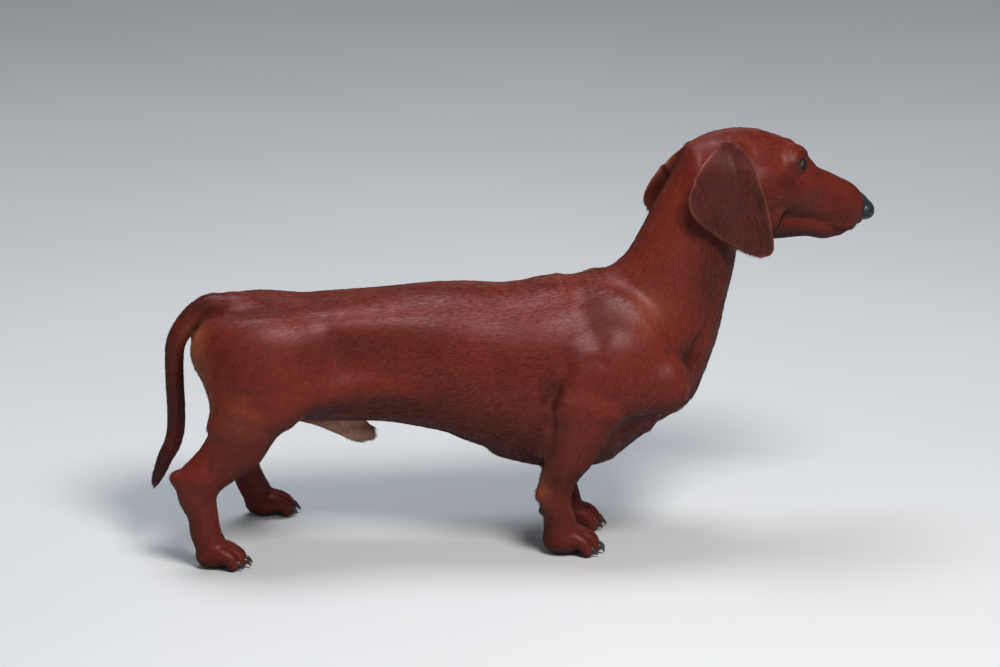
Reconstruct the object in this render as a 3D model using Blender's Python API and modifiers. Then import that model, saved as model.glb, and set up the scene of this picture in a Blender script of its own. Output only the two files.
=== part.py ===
"""A smooth-haired dachshund, standing in profile with its face turned a little away.

A life-size solid model of a live dog. The dog is built whole and then parted with thin cuts.
Each muscle or bone form is an ellipsoid or a smooth tube. Their surfaces are joined, voxel
remeshed, and drawn onto the field in which neighbouring forms melt together.
Forms are given in millimetres, and the finished meshes are scaled to metres.
"""

import math

import bmesh
import bpy
import numpy as np
from mathutils import Matrix

# ---------------------------------------------------------------------------
# Driving dimensions
# ---------------------------------------------------------------------------

COLLECTION = "dachshund"
MM = 0.001                      # the forms' unit in metres
CUT = 0.32                      # width of the cuts between nodes, mm
COARSE_VOXEL = 3.0              # first remesh, mm
FINE_VOXEL = 2.2                # second remesh, mm
EAR_VOXEL = 1.2
BODY_TRIANGLES = 4400
EAR_TRIANGLES = 260
CRUMB = 300.0                   # loose bits of a cut below this volume are dropped, cubic mm
EYE_GAP = 0.35                  # room round an eyeball in its socket, mm

# ---------------------------------------------------------------------------
# The field: each form is a distance in millimetres, and forms melt together
# ---------------------------------------------------------------------------

FAR = 1000.0            # distance given to points that a form cannot reach
REACH = 14.0            # how far outside its own box a form is still worked out
RINGS_PER_SPAN = 5      # samples between two stations of a tube


def unit(vector):
    """The vector at length one."""
    vector = np.asarray(vector, float)
    return vector / np.linalg.norm(vector, axis=-1, keepdims=True)


def shell_distance(local, radii, power=2.0):
    """Roughly how far points lie outside a squarish ellipsoid of these radii."""
    ratio = np.abs(local) / radii + 1e-6
    level = (ratio ** power).sum(axis=1) ** (1.0 / power)
    slope = np.linalg.norm(ratio ** (power - 1) / radii, axis=1) * level ** (1 - power)
    return (level - 1.0) / slope


class Ball:
    """An ellipsoid: centre, radii along its own axes, and those axes' direction."""

    def __init__(self, centre, radii, along=(1, 0, 0), over=(0, 0, 1), blend=10.0):
        self.centre = np.array(centre, float)
        self.radii = np.array(radii, float)
        first = unit(along)
        second = unit(np.cross(over, first))
        self.axes = np.stack([first, second, np.cross(first, second)])
        self.blend = blend
        reach = np.abs(self.axes.T * self.radii).sum(axis=1)
        self.low = self.centre - reach
        self.high = self.centre + reach

    def distance(self, points):
        return shell_distance((points - self.centre) @ self.axes.T, self.radii)

    def surface(self):
        """Points and faces of a ball of this form, from a globe of rings."""
        rings, steps = 10, 16
        lat = np.linspace(0, math.pi, rings + 1)[1:-1]
        lon = np.arange(steps) * 2 * math.pi / steps
        grid = np.stack([np.repeat(np.cos(lat), steps),
                         np.outer(np.sin(lat), np.cos(lon)).ravel(),
                         np.outer(np.sin(lat), np.sin(lon)).ravel()], axis=1)
        points = np.vstack([grid, [(1, 0, 0), (-1, 0, 0)]]) * self.radii
        return points @ self.axes + self.centre, tube_faces(rings - 1, steps)


class Tube:
    """A tube through stations (x, y, z, half width, half depth), smooth between them."""

    def __init__(self, stations, side=(0, 1, 0), power=2.0, blend=12.0, cap=0.8,
                 rings=RINGS_PER_SPAN):
        table = smooth_rows(np.array(stations, float), rings)
        self.spine = table[:, :3]
        self.width = table[:, 3]
        self.depth = table[:, 4]
        self.power = power
        self.blend = blend
        self.cap = cap
        run = unit(np.gradient(self.spine, axis=0))
        self.run = run
        self.deep = unit(np.cross(run, side))
        self.side = np.cross(self.deep, run)
        reach = np.maximum(self.width, self.depth)[:, None]
        self.low = (self.spine - reach).min(axis=0)
        self.high = (self.spine + reach).max(axis=0)

    def distance(self, points):
        start = self.spine[:-1]
        span = self.spine[1:] - start
        length2 = (span ** 2).sum(axis=1)
        share = (points @ span.T - (start * span).sum(axis=1)) / length2
        share = np.clip(share, 0.0, 1.0)
        gap2 = ((points ** 2).sum(axis=1)[:, None] - 2 * (points @ start.T) + (start ** 2).sum(axis=1)
                - 2 * share * (points @ span.T - (start * span).sum(axis=1)) + share ** 2 * length2)
        index = gap2.argmin(axis=1)
        t = share[np.arange(len(points)), index][:, None]

        def at(rows):
            rows = rows.reshape(len(rows), -1)
            return rows[index] * (1 - t) + rows[index + 1] * t

        offset = points - at(self.spine)
        width = at(self.width)[:, 0]
        depth = at(self.depth)[:, 0]
        local = np.stack([(offset * at(self.run)).sum(axis=1),
                          (offset * at(self.side)).sum(axis=1),
                          (offset * at(self.deep)).sum(axis=1)], axis=1)
        radii = np.stack([np.minimum(width, depth) * self.cap, width, depth], axis=1)
        return shell_distance(local, radii, self.power)

    def surface(self, steps=16):
        """Points and faces of the tube: a ring at each sample and a pole at each end."""
        turn = np.arange(steps) * 2 * math.pi / steps
        rings = [centre + np.outer(np.cos(turn) * w, s) + np.outer(np.sin(turn) * d, v)
                 for centre, w, d, s, v in zip(self.spine, self.width, self.depth, self.side, self.deep)]
        tip = [self.spine[0] - self.run[0] * min(self.width[0], self.depth[0]) * self.cap,
               self.spine[-1] + self.run[-1] * min(self.width[-1], self.depth[-1]) * self.cap]
        return np.vstack(rings + tip), tube_faces(len(rings), steps)


def tube_faces(rings, steps):
    """Faces of a closed tube of rings, whose two poles are its last two points."""
    faces = []
    first = rings * steps
    last = first + 1
    for ring in range(rings - 1):
        for step in range(steps):
            after = (step + 1) % steps
            faces.append((ring * steps + step, ring * steps + after,
                          (ring + 1) * steps + after, (ring + 1) * steps + step))
    for step in range(steps):
        after = (step + 1) % steps
        faces.append((first, after, step))
        faces.append((last, (rings - 1) * steps + step, (rings - 1) * steps + after))
    return faces


def smooth_rows(rows, per_span):
    """Rows of a table with smooth Catmull-Rom rows between them."""
    padded = np.vstack([2 * rows[0] - rows[1], rows, 2 * rows[-1] - rows[-2]])
    result = []
    for index in range(1, len(rows)):
        before, start, end, after = padded[index - 1:index + 3]
        for t in np.arange(per_span) / per_span:
            result.append(0.5 * (2 * start + (end - before) * t
                                 + (2 * before - 5 * start + 4 * end - after) * t ** 2
                                 + (3 * start - before - 3 * end + after) * t ** 3))
    result.append(rows[-1])
    return np.array(result)


def melt(first, second, width):
    """The smaller of two distances, rounded off where they are close."""
    share = np.clip(0.5 + 0.5 * (second - first) / width, 0.0, 1.0)
    return second + (first - second) * share - width * share * (1 - share)


def field(points, forms):
    """Signed distance to all forms together."""
    total = np.full(len(points), FAR)
    for form in forms:
        margin = REACH + form.blend
        near = ((points > form.low - margin) & (points < form.high + margin)).all(axis=1)
        if near.any():
            total[near] = melt(total[near], form.distance(points[near]), form.blend)
    return total


def settle(points, distance, rounds=5, step=3.0):
    """Move points onto the zero of a distance function, and give their slopes."""
    probe = 0.05
    corners = np.array([(1, -1, -1), (-1, -1, 1), (-1, 1, -1), (1, 1, 1)], float)
    slope = None
    for _ in range(rounds):
        values = [distance(points + corner * probe) for corner in corners]
        slope = sum(np.outer(value, corner) for value, corner in zip(values, corners)) / (4 * probe)
        level = sum(values) / 4
        size2 = np.maximum((slope ** 2).sum(axis=1), 0.05)
        move = np.clip(level / np.sqrt(size2), -step, step) / np.sqrt(size2)
        points = points - slope * move[:, None]
    return points, unit(slope)


# ---------------------------------------------------------------------------
# The dog's forms, in millimetres: +X forward, +Y to its left, +Z up, floor at 0
# ---------------------------------------------------------------------------

HEAD_PIVOT = (150.0, 4.0, 300.0)     # where the skull sits on the neck
HEAD_TURN = math.radians(12)         # the face is turned to the dog's left
HEAD_DROP = math.radians(16)         # and the muzzle points a little down
EYE_PLACE = (63.8, 16.9, 33.0)       # in the head's own axes
EYE_RADIUS = 9.3


def head_axes():
    """Rows: the head's forward, left and up directions."""
    turn = np.array([[math.cos(HEAD_TURN), -math.sin(HEAD_TURN), 0],
                     [math.sin(HEAD_TURN), math.cos(HEAD_TURN), 0], [0, 0, 1]])
    drop = np.array([[math.cos(HEAD_DROP), 0, math.sin(HEAD_DROP)], [0, 1, 0],
                     [-math.sin(HEAD_DROP), 0, math.cos(HEAD_DROP)]])
    return (turn @ drop).T


HEAD_AXES = head_axes()


def on_head(points):
    """Points given in the head's own axes, as places on the standing dog."""
    return np.asarray(points, float) @ HEAD_AXES + np.array(HEAD_PIVOT)


def head_ball(place, radii, blend, along=(1, 0, 0), over=(0, 0, 1)):
    return Ball(on_head(place), radii, np.asarray(along, float) @ HEAD_AXES,
                np.asarray(over, float) @ HEAD_AXES, blend)


def head_tube(rows, blend, power=2.0, cap=0.8):
    """A tube on the head: rows are (forward, left, up, half width, half depth)."""
    rows = np.array(rows, float)
    return Tube(np.hstack([on_head(rows[:, :3]), rows[:, 3:]]), HEAD_AXES[1], power, blend, cap)


def trunk_forms():
    # Along the back: forward, top, bottom, half width.
    outline = np.array([(-248, 199, 172, 14), (-238, 203, 158, 26), (-220, 206, 136, 37),
                        (-195, 206.5, 118, 44), (-165, 209, 111, 46), (-135, 212.5, 109, 45),
                        (-105, 217, 107, 46), (-75, 220, 102, 49), (-45, 220.5, 95, 54),
                        (-15, 219.5, 83, 59), (15, 222.5, 71, 62), (45, 224, 68, 61),
                        (72, 224, 77, 56), (98, 212, 93, 47), (118, 196, 110, 36),
                        (131, 172, 126, 22)], float)
    rows = np.stack([outline[:, 0], 0 * outline[:, 0], (outline[:, 1] + outline[:, 2]) / 2,
                     outline[:, 3], (outline[:, 1] - outline[:, 2]) / 2], axis=1)
    forms = [Tube(rows, power=2.25, blend=20, cap=0.35)]
    forms.append(Tube([(-10, 0, 88, 16, 14), (30, 0, 81, 18, 16), (62, 0, 82, 19, 16),
                       (88, 0, 99, 19, 15), (112, 0, 117, 16, 13), (134, 0, 131, 10, 10)], blend=14))
    for side in (-1, 1):
        forms.append(Ball((106, 22 * side, 124), (28, 18, 19), (1, 0, 0.7), blend=14))
        forms.append(Ball((-140, 24 * side, 194), (70, 16, 14), blend=14))
        forms.append(Ball((-236, 27 * side, 177), (27, 17, 28), blend=18))
        forms.append(Tube([(-186, 48 * side, 137, 7, 7), (-165, 46 * side, 142, 7, 8),
                           (-138, 42 * side, 146, 6, 8), (-108, 40 * side, 146, 5, 6),
                           (-84, 41 * side, 142, 3, 4)], blend=16))
    return forms


def neck_forms():
    return [Tube([(91, 0, 159, 49, 62), (103, 0, 176, 46, 60.5), (117, 0, 198.5, 40, 54),
                  (129, 0, 222, 35, 45.5), (138.5, 1, 247, 32, 41), (146.5, 3, 271, 30, 37),
                  (154.5, 5, 291, 28.5, 33), (163, 7, 308, 26, 27)], blend=18, cap=0.5)]


def shoulder_forms(side):
    return [
        Ball((87, 41 * side, 179), (47, 12, 25), (-50, -22 * side, 76), (-76, 0, -50), blend=14),
        Ball((121, 43 * side, 143), (16, 15, 19), blend=12),
        Tube([(117, 44 * side, 143, 14, 18), (80, 49 * side, 139, 15, 20),
              (40, 54 * side, 131, 14, 17)], blend=14),
        Ball((62, 48 * side, 156), (34, 15, 25), (1, 0, 0.5), blend=16),
        Ball((31, 58 * side, 130), (10, 9, 10), blend=8),
    ]


def foreleg_forms(side, carpus, paw):
    """Forearm from the elbow to the carpus, then the pastern and the paw."""
    cx, cy, cz = carpus
    fx, fy = paw.base[:2]
    forms = [Tube([(55, 55 * side, 128, 17, 24), (48, 54 * side, 110, 17, 22.5),
                   (cx + 14, cy + 9 * side, cz + 38, 15.5, 19.5),
                   (cx + 6, cy + 6 * side, cz + 22, 13.5, 16.5),
                   (cx + 1.5, cy + 2 * side, cz + 9, 12.5, 14.8), (cx, cy, cz - 3, 12, 14),
                   (cx + 1, cy, cz - 13, 11.5, 12.5),
                   (cx + (fx - cx) * 0.25, cy + (fy - cy) * 0.4, cz - 25, 12, 13),
                   (cx + (fx - cx) * 0.4, cy + (fy - cy) * 0.7, cz - 38, 13.5, 14.5)], blend=9),
             Ball((cx - 11, cy + 2 * side, cz - 1), (5, 5, 6.5), blend=5),
             Ball((cx - 11.2, cy, cz - 16), (3.2, 4, 3.4), blend=4)]
    return forms + paw.forms()


class Paw:
    """Where a paw stands: its middle on the floor, its heading and its size."""

    def __init__(self, foot, heading, length, width, height):
        self.turn = np.array([(math.cos(heading), math.sin(heading), 0),
                              (-math.sin(heading), math.cos(heading), 0), (0, 0, 1)])
        self.base = np.array([foot[0], foot[1], 0.0])
        self.length = length
        self.width = width
        self.height = height

    def place(self, rows):
        """Rows given along the paw, across it and up, as rows on the standing dog."""
        rows = np.array(rows, float)
        rows[:, :3] = rows[:, :3] @ self.turn + self.base
        return rows

    def toes(self):
        """How far out and how far forward each toe reaches: the middle two lead."""
        for toe in (-1.5, -0.5, 0.5, 1.5):
            yield toe * self.width * 0.235, self.length * (0.5 if abs(toe) < 1 else 0.38)

    def forms(self):
        middle = self.place([(-0.12 * self.length, 0, 0.45 * self.height)])[0]
        forms = [Ball(middle, (0.36 * self.length, 0.42 * self.width, 0.5 * self.height),
                      self.turn[0], blend=7)]
        for out, reach in self.toes():
            rows = [(-0.1 * self.length, out * 0.6, 0.62 * self.height, 4.5, 5),
                    (reach - 15, out * 0.9, 0.66 * self.height, 4.7, 6),
                    (reach - 8, out, 0.48 * self.height, 4.9, 6),
                    (reach - 4.5, out * 1.05, 0.21 * self.height, 4.4, 5)]
            forms.append(Tube(self.place(rows), self.turn[1], blend=4.0, cap=0.9))
        return forms

    def claws(self):
        """A short curved claw at the end of each toe."""
        for out, reach in self.toes():
            out *= 1.06
            rows = [(reach - 4, out, 7.6, 2.0, 2.2), (reach + 1.5, out, 6.2, 1.7, 1.9),
                    (reach + 4.6, out, 2.4, 0.7, 0.8)]
            yield Tube(self.place(rows), self.turn[1], cap=0.9, rings=1)


FORE_PAW = (46, 34, 22)         # length, width and height
HIND_PAW = (41, 31, 20)
PAWS = {
    "forepaw_right": Paw((42, -36), -0.12, *FORE_PAW),
    "forepaw_left": Paw((50, 22), 0.12, *FORE_PAW),
    "hindpaw_right": Paw((-243, -44), -0.15, *HIND_PAW),
    "hindpaw_left": Paw((-200, 78), 0.2, *HIND_PAW),
}


def hindleg_forms(side, knee, hock, paw):
    """Thigh, knee, gaskin, hock and the paw below it."""
    knee = np.array(knee, float)
    hock = np.array(hock, float)
    fx, fy = paw.base[:2]
    shank = hock - knee

    def along(share, back=0.0):
        place = knee + shank * share
        return (place[0] - back, place[1], place[2])

    forms = [
        Ball((-205, 38 * side, 165.5), (46, 22, 40.5), blend=20),
        Ball((-212, 45 * side, 144), (37, 18, 33), (1, 0, -0.25), blend=14),
        Tube([(*along(-0.02, 29), 12.5, 25.5), (*along(0.22, 18), 14.5, 27.5), (*along(0.45, 7), 13.5, 25),
              (*along(0.7, 2), 11.5, 20), (*along(0.95), 10.5, 17)], blend=12, cap=0.5),
        Ball((knee[0] - 4, knee[1], knee[2] + 4), (11, 10.5, 12), blend=12),
        Tube([(hock[0], hock[1], hock[2] + 4, 10, 17), (hock[0] + 1, hock[1], hock[2] - 12, 9.7, 15.5),
              (hock[0] + 5, hock[1] + (fy - hock[1]) * 0.3, hock[2] - 28, 9.2, 12.6),
              (hock[0] + (fx - hock[0]) * 0.36, hock[1] + (fy - hock[1]) * 0.6, hock[2] - 43, 9.5, 12.5),
              (hock[0] + (fx - hock[0]) * 0.66, fy, 14, 10.5, 12.5)], blend=8),
        Ball((hock[0] - 12, hock[1], hock[2] + 3), (6, 6, 9), (0.4, 0, 1), blend=7),
    ]
    return forms + paw.forms()


def head_forms():
    forms = [
        # Skull, from the occiput to the stop: forward, left, up, half width, half depth.
        head_tube([(-12, 0, 6, 21, 24), (2, 0, 7.5, 28.5, 33.5), (20, 0, 8, 31.5, 40.4),
                   (40, 0, 8, 32, 42.8), (58, 0, 10, 29, 39.4), (72, 0, 10, 24, 32),
                   (84, 0, 6, 19.5, 24.5)], 8, 2.1, 0.5),
        # Upper jaw out to the nose.
        head_tube([(66, 0, 11, 24, 25), (80, 0, 10, 22, 23.6), (91, 0, 8.5, 20, 22.8),
                   (102, 0, 7.5, 18.6, 22.5), (114, 0, 6, 17.4, 21.5), (126, 0, 5, 16.2, 20),
                   (136, 0, 4.2, 13.5, 15.6), (141, 0, 3.8, 10.5, 11.5)], 7, 2.3, 0.5),
        # Lower jaw from the throat to the chin.
        head_tube([(38, 0, -22, 24, 26), (58, 0, -20, 21, 18), (78, 0, -19, 18.5, 12.5),
                   (98, 0, -16.5, 16, 9.5), (113, 0, -16, 14.5, 9), (125, 0, -13, 11.5, 7.5)], 5, 2.2, 0.8),
        head_ball((-7, 0, 21), (9, 9, 8), 10),
        head_ball((145.6, 0, 6.2), (8.6, 9.2, 6.6), 3, (1, 0, -0.5)),
    ]
    for side in (-1, 1):
        forms += [
            head_ball((67.5, 11.5 * side, 40.3), (10.3, 7.5, 7), 5.5, (1, 0.25 * side, -0.1)),
            head_ball((54, 24 * side, 11), (26, 9, 13), 10, (1, -0.2 * side, 0)),
            head_ball((40, 24 * side, -14), (24, 10, 24), 10),
            head_ball((82, 15 * side, 13), (15, 7.5, 13.5), 8, (1, -0.3 * side, 0)),
            head_ball((124, 8.5 * side, -7.5), (14, 6.5, 7.5), 5),
        ]
    return forms


class Flap:
    """An ear: a curved sheet over an outline in the head's forward-up plane."""

    def __init__(self, outline, side, lift=0.0, thickness=2.6, blend=2.5):
        self.outline = smooth_rows(np.array(outline + outline[:1], float), 3)[:-1]
        self.side = side
        self.lift = lift
        self.thickness = thickness
        self.blend = blend
        points = self.surface()[0]
        self.low = points.min(axis=0)
        self.high = points.max(axis=0)

    def middle(self, u, w):
        """How far out from the midline the sheet lies."""
        fall = np.clip((38.0 - w) / 30.0, 0.0, 1.0)
        rear = np.clip((10.0 - u) / 34.0, 0.0, 1.0)
        crease = 1.8 * np.exp(-((u - 4.0 - 0.35 * (30.0 - w)) / 9.0) ** 2)
        return 27.0 + 12.0 * fall * (2.0 - fall) + (2.0 + self.lift) * rear * fall + crease * fall

    def edge_gap(self, u, w):
        """How far outside the outline places in that plane lie: negative inside it."""
        flat = np.stack([u, w], axis=1)
        start = self.outline
        end = np.roll(start, -1, axis=0)
        span = end - start
        share = (flat @ span.T - (start * span).sum(axis=1)) / (span ** 2).sum(axis=1)
        share = np.clip(share, 0.0, 1.0)
        du = flat[:, :1] - start[:, 0] - share * span[:, 0]
        dw = flat[:, 1:] - start[:, 1] - share * span[:, 1]
        gap = np.sqrt((du ** 2 + dw ** 2).min(axis=1))
        crossing = (start[:, 1] > flat[:, 1:]) != (end[:, 1] > flat[:, 1:])
        with np.errstate(divide="ignore", invalid="ignore"):
            at = start[:, 0] + (flat[:, 1:] - start[:, 1]) / span[:, 1] * span[:, 0]
        inside = (crossing & (flat[:, :1] < at)).sum(axis=1) % 2 == 1
        return np.where(inside, -gap, gap)

    def distance(self, points):
        u, v, w = ((points - np.array(HEAD_PIVOT)) @ HEAD_AXES.T).T
        half = self.thickness / 2
        beside = np.abs(v * self.side - self.middle(u, w)) * 0.93
        outer = np.stack([beside, self.edge_gap(u, w) + half], axis=1)
        reach = np.linalg.norm(np.maximum(outer, 0.0), axis=1)
        return reach + np.minimum(outer.max(axis=1), 0.0) - half

    def surface(self):
        """Points and faces: rings that grow to the rim on one face and shrink on the other."""
        centre = self.outline.mean(axis=0)
        half = self.thickness / 2
        rings = []
        for share, out in [(0.3, -1), (0.6, -1), (0.85, -1), (1.0, -0.4), (1.0, 0.4),
                           (0.85, 1), (0.6, 1), (0.3, 1)]:
            ring = centre + (self.outline - centre) * share
            v = self.middle(*ring.T) + out * half
            rings.append(np.stack([ring[:, 0], v * self.side, ring[:, 1]], axis=1))
        poles = [(centre[0], (self.middle(*centre) + out * half) * self.side, centre[1])
                 for out in (-1, 1)]
        points = on_head(np.vstack(rings + [poles]))
        faces = tube_faces(len(rings), len(self.outline))
        if self.side < 0:
            faces = [face[::-1] for face in faces]
        return points, faces


# The ear's edge, forward and up from the head's pivot, from its front root round to the back.
EAR_OUTLINE = [(24, 30), (33, 14), (42, 1), (52, -18), (60, -35), (56, -44), (38, -43.5),
               (18, -38), (-2, -31), (-19, -21), (-25, -6), (-23, 12), (-15, 26), (-3, 37), (13, 37)]


# The left one is swept back behind the neck, so it hangs lower at the rear.
SWEPT_EAR_OUTLINE = [(24, 30), (32, 14), (40, 0), (48, -19), (49, -37), (39, -49), (20, -52),
                     (1, -50), (-16, -43), (-25.5, -33), (-26, -20), (-21, -6), (-15, 5),
                     (-8, 16), (0, 25), (11, 31)]


def ear_form(side):
    if side < 0:
        return Flap(EAR_OUTLINE, side)
    return Flap(SWEPT_EAR_OUTLINE, side, lift=4.0)


def tail_forms():
    # Croup to tip: forward, up, radius.
    bends = [(-222, 204.5, 11), (-236, 206.5, 10.4), (-247, 206.8, 9.8),
             (-256.5, 201.5, 9.5), (-264.5, 194, 9), (-271, 185, 8.5), (-275.5, 175, 8),
             (-277, 160, 7.6), (-277, 142, 7.5), (-276.5, 123, 7.4), (-277, 106, 7.3),
             (-280, 92, 7), (-286, 80, 6.4), (-291, 68, 5.3), (-295.5, 58, 3.5)]
    root = Tube([(-190, 0, 194, 17, 13), (-210, 0, 199.5, 16, 13), (-228, 0, 203.5, 13, 12)],
                blend=16, cap=0.7)
    return [root, Tube([(x, 0, z, r, r) for x, z, r in bends], blend=7, cap=1.3)]


def sheath_forms():
    return [Tube([(-182, 0, 117, 9, 8), (-162, 0, 112, 10.5, 9), (-144, 0, 104.5, 10, 9.5),
                  (-129, 0, 97.5, 9, 9.5), (-121, 0, 95.5, 7, 7)], blend=6),
            Ball((-220, 0, 138), (14, 12, 14), blend=7)]


def dog_forms():
    forms = trunk_forms() + neck_forms()
    for side in (-1, 1):
        forms += shoulder_forms(side)
    forms += foreleg_forms(-1, (27.5, -43, 55), PAWS["forepaw_right"])
    forms += foreleg_forms(1, (39, 30, 55), PAWS["forepaw_left"])
    forms += hindleg_forms(-1, (-192, -52, 129), (-262, -47, 73), PAWS["hindpaw_right"])
    forms += hindleg_forms(1, (-190, 52, 131), (-227, 61, 76), PAWS["hindpaw_left"])
    return forms + head_forms() + tail_forms() + sheath_forms()


# ---------------------------------------------------------------------------
# From forms to meshes
# ---------------------------------------------------------------------------

def clear_scene():
    for item in list(bpy.data.objects):
        bpy.data.objects.remove(item)


def collection(name):
    group = bpy.data.collections.new(name)
    bpy.context.scene.collection.children.link(group)
    return group


def add_object(name, points, faces, group):
    mesh = bpy.data.meshes.new(name)
    mesh.from_pydata(np.asarray(points).tolist(), [], faces)
    mesh.update()
    item = bpy.data.objects.new(name, mesh)
    group.objects.link(item)
    return item


def apply_modifiers(item):
    """Replace the object's mesh by its evaluated mesh."""
    graph = bpy.context.evaluated_depsgraph_get()
    mesh = bpy.data.meshes.new_from_object(item.evaluated_get(graph))
    item.modifiers.clear()
    old = item.data
    item.data = mesh
    bpy.data.meshes.remove(old)


def remesh(item, voxel):
    modifier = item.modifiers.new("Remesh", "REMESH")
    modifier.mode = "VOXEL"
    modifier.voxel_size = voxel
    apply_modifiers(item)


def decimate(item, triangles):
    """Collapse edges until about this many triangles are left."""
    item.data.calc_loop_triangles()
    modifier = item.modifiers.new("Decimate", "DECIMATE")
    modifier.ratio = triangles / len(item.data.loop_triangles)
    modifier.use_collapse_triangulate = True
    apply_modifiers(item)


def settle_mesh(item, forms):
    """Move the mesh's vertices onto the surface where the forms melt together."""
    flat = np.empty(len(item.data.vertices) * 3)
    item.data.vertices.foreach_get("co", flat)
    points, _ = settle(flat.reshape(-1, 3), lambda at: field(at, forms))
    item.data.vertices.foreach_set("co", points.ravel())
    item.data.update()


def mesh_from_forms(name, forms, voxels, group):
    """One closed mesh of all the forms: join, remesh, settle, and again finer."""
    points, faces, count = [], [], 0
    for form in forms:
        own_points, own_faces = form.surface()
        points.append(own_points)
        faces += [tuple(index + count for index in face) for face in own_faces]
        count += len(own_points)
    item = add_object(name, np.vstack(points), faces, group)
    for voxel in voxels:
        remesh(item, voxel)
        settle_mesh(item, forms)
    return item


def boolean(item, operation, cutter):
    modifier = item.modifiers.new("Boolean", "BOOLEAN")
    modifier.operation = operation
    modifier.object = cutter
    modifier.solver = "EXACT"
    apply_modifiers(item)


def box_cutter(name, centre, size, axes, group):
    """A box of the given size whose own axes are the rows of axes."""
    bpy.ops.mesh.primitive_cube_add(size=1)
    item = bpy.context.active_object
    item.name = name
    for holder in item.users_collection:
        holder.objects.unlink(item)
    group.objects.link(item)
    turn = Matrix([unit(axis) for axis in axes]).transposed().to_4x4()
    item.data.transform(Matrix.Translation(centre) @ turn @ Matrix.Diagonal((*size, 1)))
    hide_cutter(item)
    return item


def hide_cutter(item):
    item.hide_render = True
    item.display_type = "WIRE"


# ---------------------------------------------------------------------------
# Thin cuts: each is a slab that crosses the body where one node ends
# ---------------------------------------------------------------------------

def slab(name, centre, normal, across, reach, group):
    """A thin box square to normal, reaching along across and along their product."""
    normal = unit(normal)
    across = unit(across)
    third = np.cross(normal, across)
    return box_cutter(name, centre, (CUT, reach[0], reach[1]), (normal, across, third), group)


def wall(name, low, high, x_range, group):
    """A thin upright or sloping wall: from low to high in (y, z), along a range of x."""
    low = np.array(low, float)
    high = np.array(high, float)
    run = high - low
    centre = (sum(x_range) / 2, *(low + high) / 2)
    return slab(name, centre, (0, run[1], -run[0]), (1, 0, 0),
                (x_range[1] - x_range[0], np.linalg.norm(run)), group)


def body_cuts(group):
    """The slabs between trunk, neck, head and tail."""
    return [
        slab("cut_head", (152, 4, 296), (0.8, 0, 0.6), (0, 1, 0), (120, 150), group),
        slab("cut_neck", (116, 0, 191), (0.68, 0, 0.73), (0, 1, 0), (160, 150), group),
        slab("cut_chest", (2, 0, 145), (1, 0, 0), (0, 1, 0), (160, 200), group),
        slab("cut_loin", (-106, 0, 155), (1, 0, 0), (0, 1, 0), (160, 150), group),
        slab("cut_tail_root", (-266, 0, 193), (0.585, 0, 0.81), (0, 1, 0), (24, 24), group),
        slab("cut_tail", (-277, 0, 130), (0, 0, 1), (0, 1, 0), (20, 20), group),
    ]


def head_slab(name, centre, normal, across, reach, group):
    """A slab placed in the head's own axes."""
    return slab(name, on_head(centre), np.array(normal, float) @ HEAD_AXES,
                np.array(across, float) @ HEAD_AXES, reach, group)


def face_cuts(group):
    """The slabs round the lower jaw and the nose."""
    return [
        head_slab("cut_mouth", (110, 0, -9), (0, 0, 1), (0, 1, 0), (80, 96), group),
        head_slab("cut_jaw", (62.1, 0, -39), (1, 0, 0), (0, 1, 0), (80, 60.2), group),
        head_slab("cut_nose", (141, 0, 16), (1, 0, 0), (0, 1, 0), (40, 30.2), group),
        head_slab("cut_nose_floor", (151, 0, 1), (0, 0, 1), (0, 1, 0), (40, 20.2), group),
    ]


def foreleg_cuts(side, low, high, wrist, group):
    """Cuts at the chest wall, above the elbow and above the paw."""
    outside = 85 * side
    elbow = 119
    span = (2, 140)
    name = "right" if side < 0 else "left"
    return [
        wall("cut_axilla_" + name, low, (high, elbow), span, group),
        wall("cut_elbow_" + name, (high, elbow), (outside, elbow), span, group),
        slab("cut_wrist_" + name, wrist, (0, 0, 1), (1, 0, 0), (54, 44), group),
    ]


def hindleg_cuts(side, hock, group):
    """Cuts round the haunch, below the thigh and above the hind paw."""
    name = "right" if side < 0 else "left"
    inner = 30 * side
    outer = 90 * side
    haunch_top = 198
    thigh_foot = 122
    span = (-275, -166)
    return [
        wall("cut_groin_" + name, (inner, 96), (inner, haunch_top), span, group),
        wall("cut_croup_" + name, (inner, haunch_top), (outer, haunch_top), span, group),
        slab("cut_flank_" + name, (span[1], (inner + outer) / 2, 147), (1, 0, 0), (0, 1, 0),
             (60.3, 102.3), group),
        wall("cut_thigh_" + name, (inner, thigh_foot), (outer, thigh_foot), span, group),
        slab("cut_hock_" + name, hock, (0, 0, 1), (1, 0, 0), (56, 46), group),
    ]


# A point near the middle of each node that the cuts leave.
NODE_PLACES = {
    "head": (205, 8, 295), "lower_jaw": (225, 14, 254), "nose": (296, 34, 268),
    "neck": (138, 2, 245), "chest": (65, 0, 165), "loin": (-58, 0, 155), "croup": (-180, 0, 165),
    "tail_upper": (-276, 0, 165), "tail_lower": (-280, 0, 95),
    "foreleg_right": (40, -52, 85), "foreleg_left": (45, 38, 85),
    "forepaw_right": (40, -38, 14), "forepaw_left": (46, 24, 14),
    "thigh_right": (-215, -45, 160), "thigh_left": (-215, 45, 160),
    "shank_right": (-240, -48, 92), "shank_left": (-228, 56, 95),
    "hindpaw_right": (-250, -45, 28), "hindpaw_left": (-215, 72, 28),
}


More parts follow.
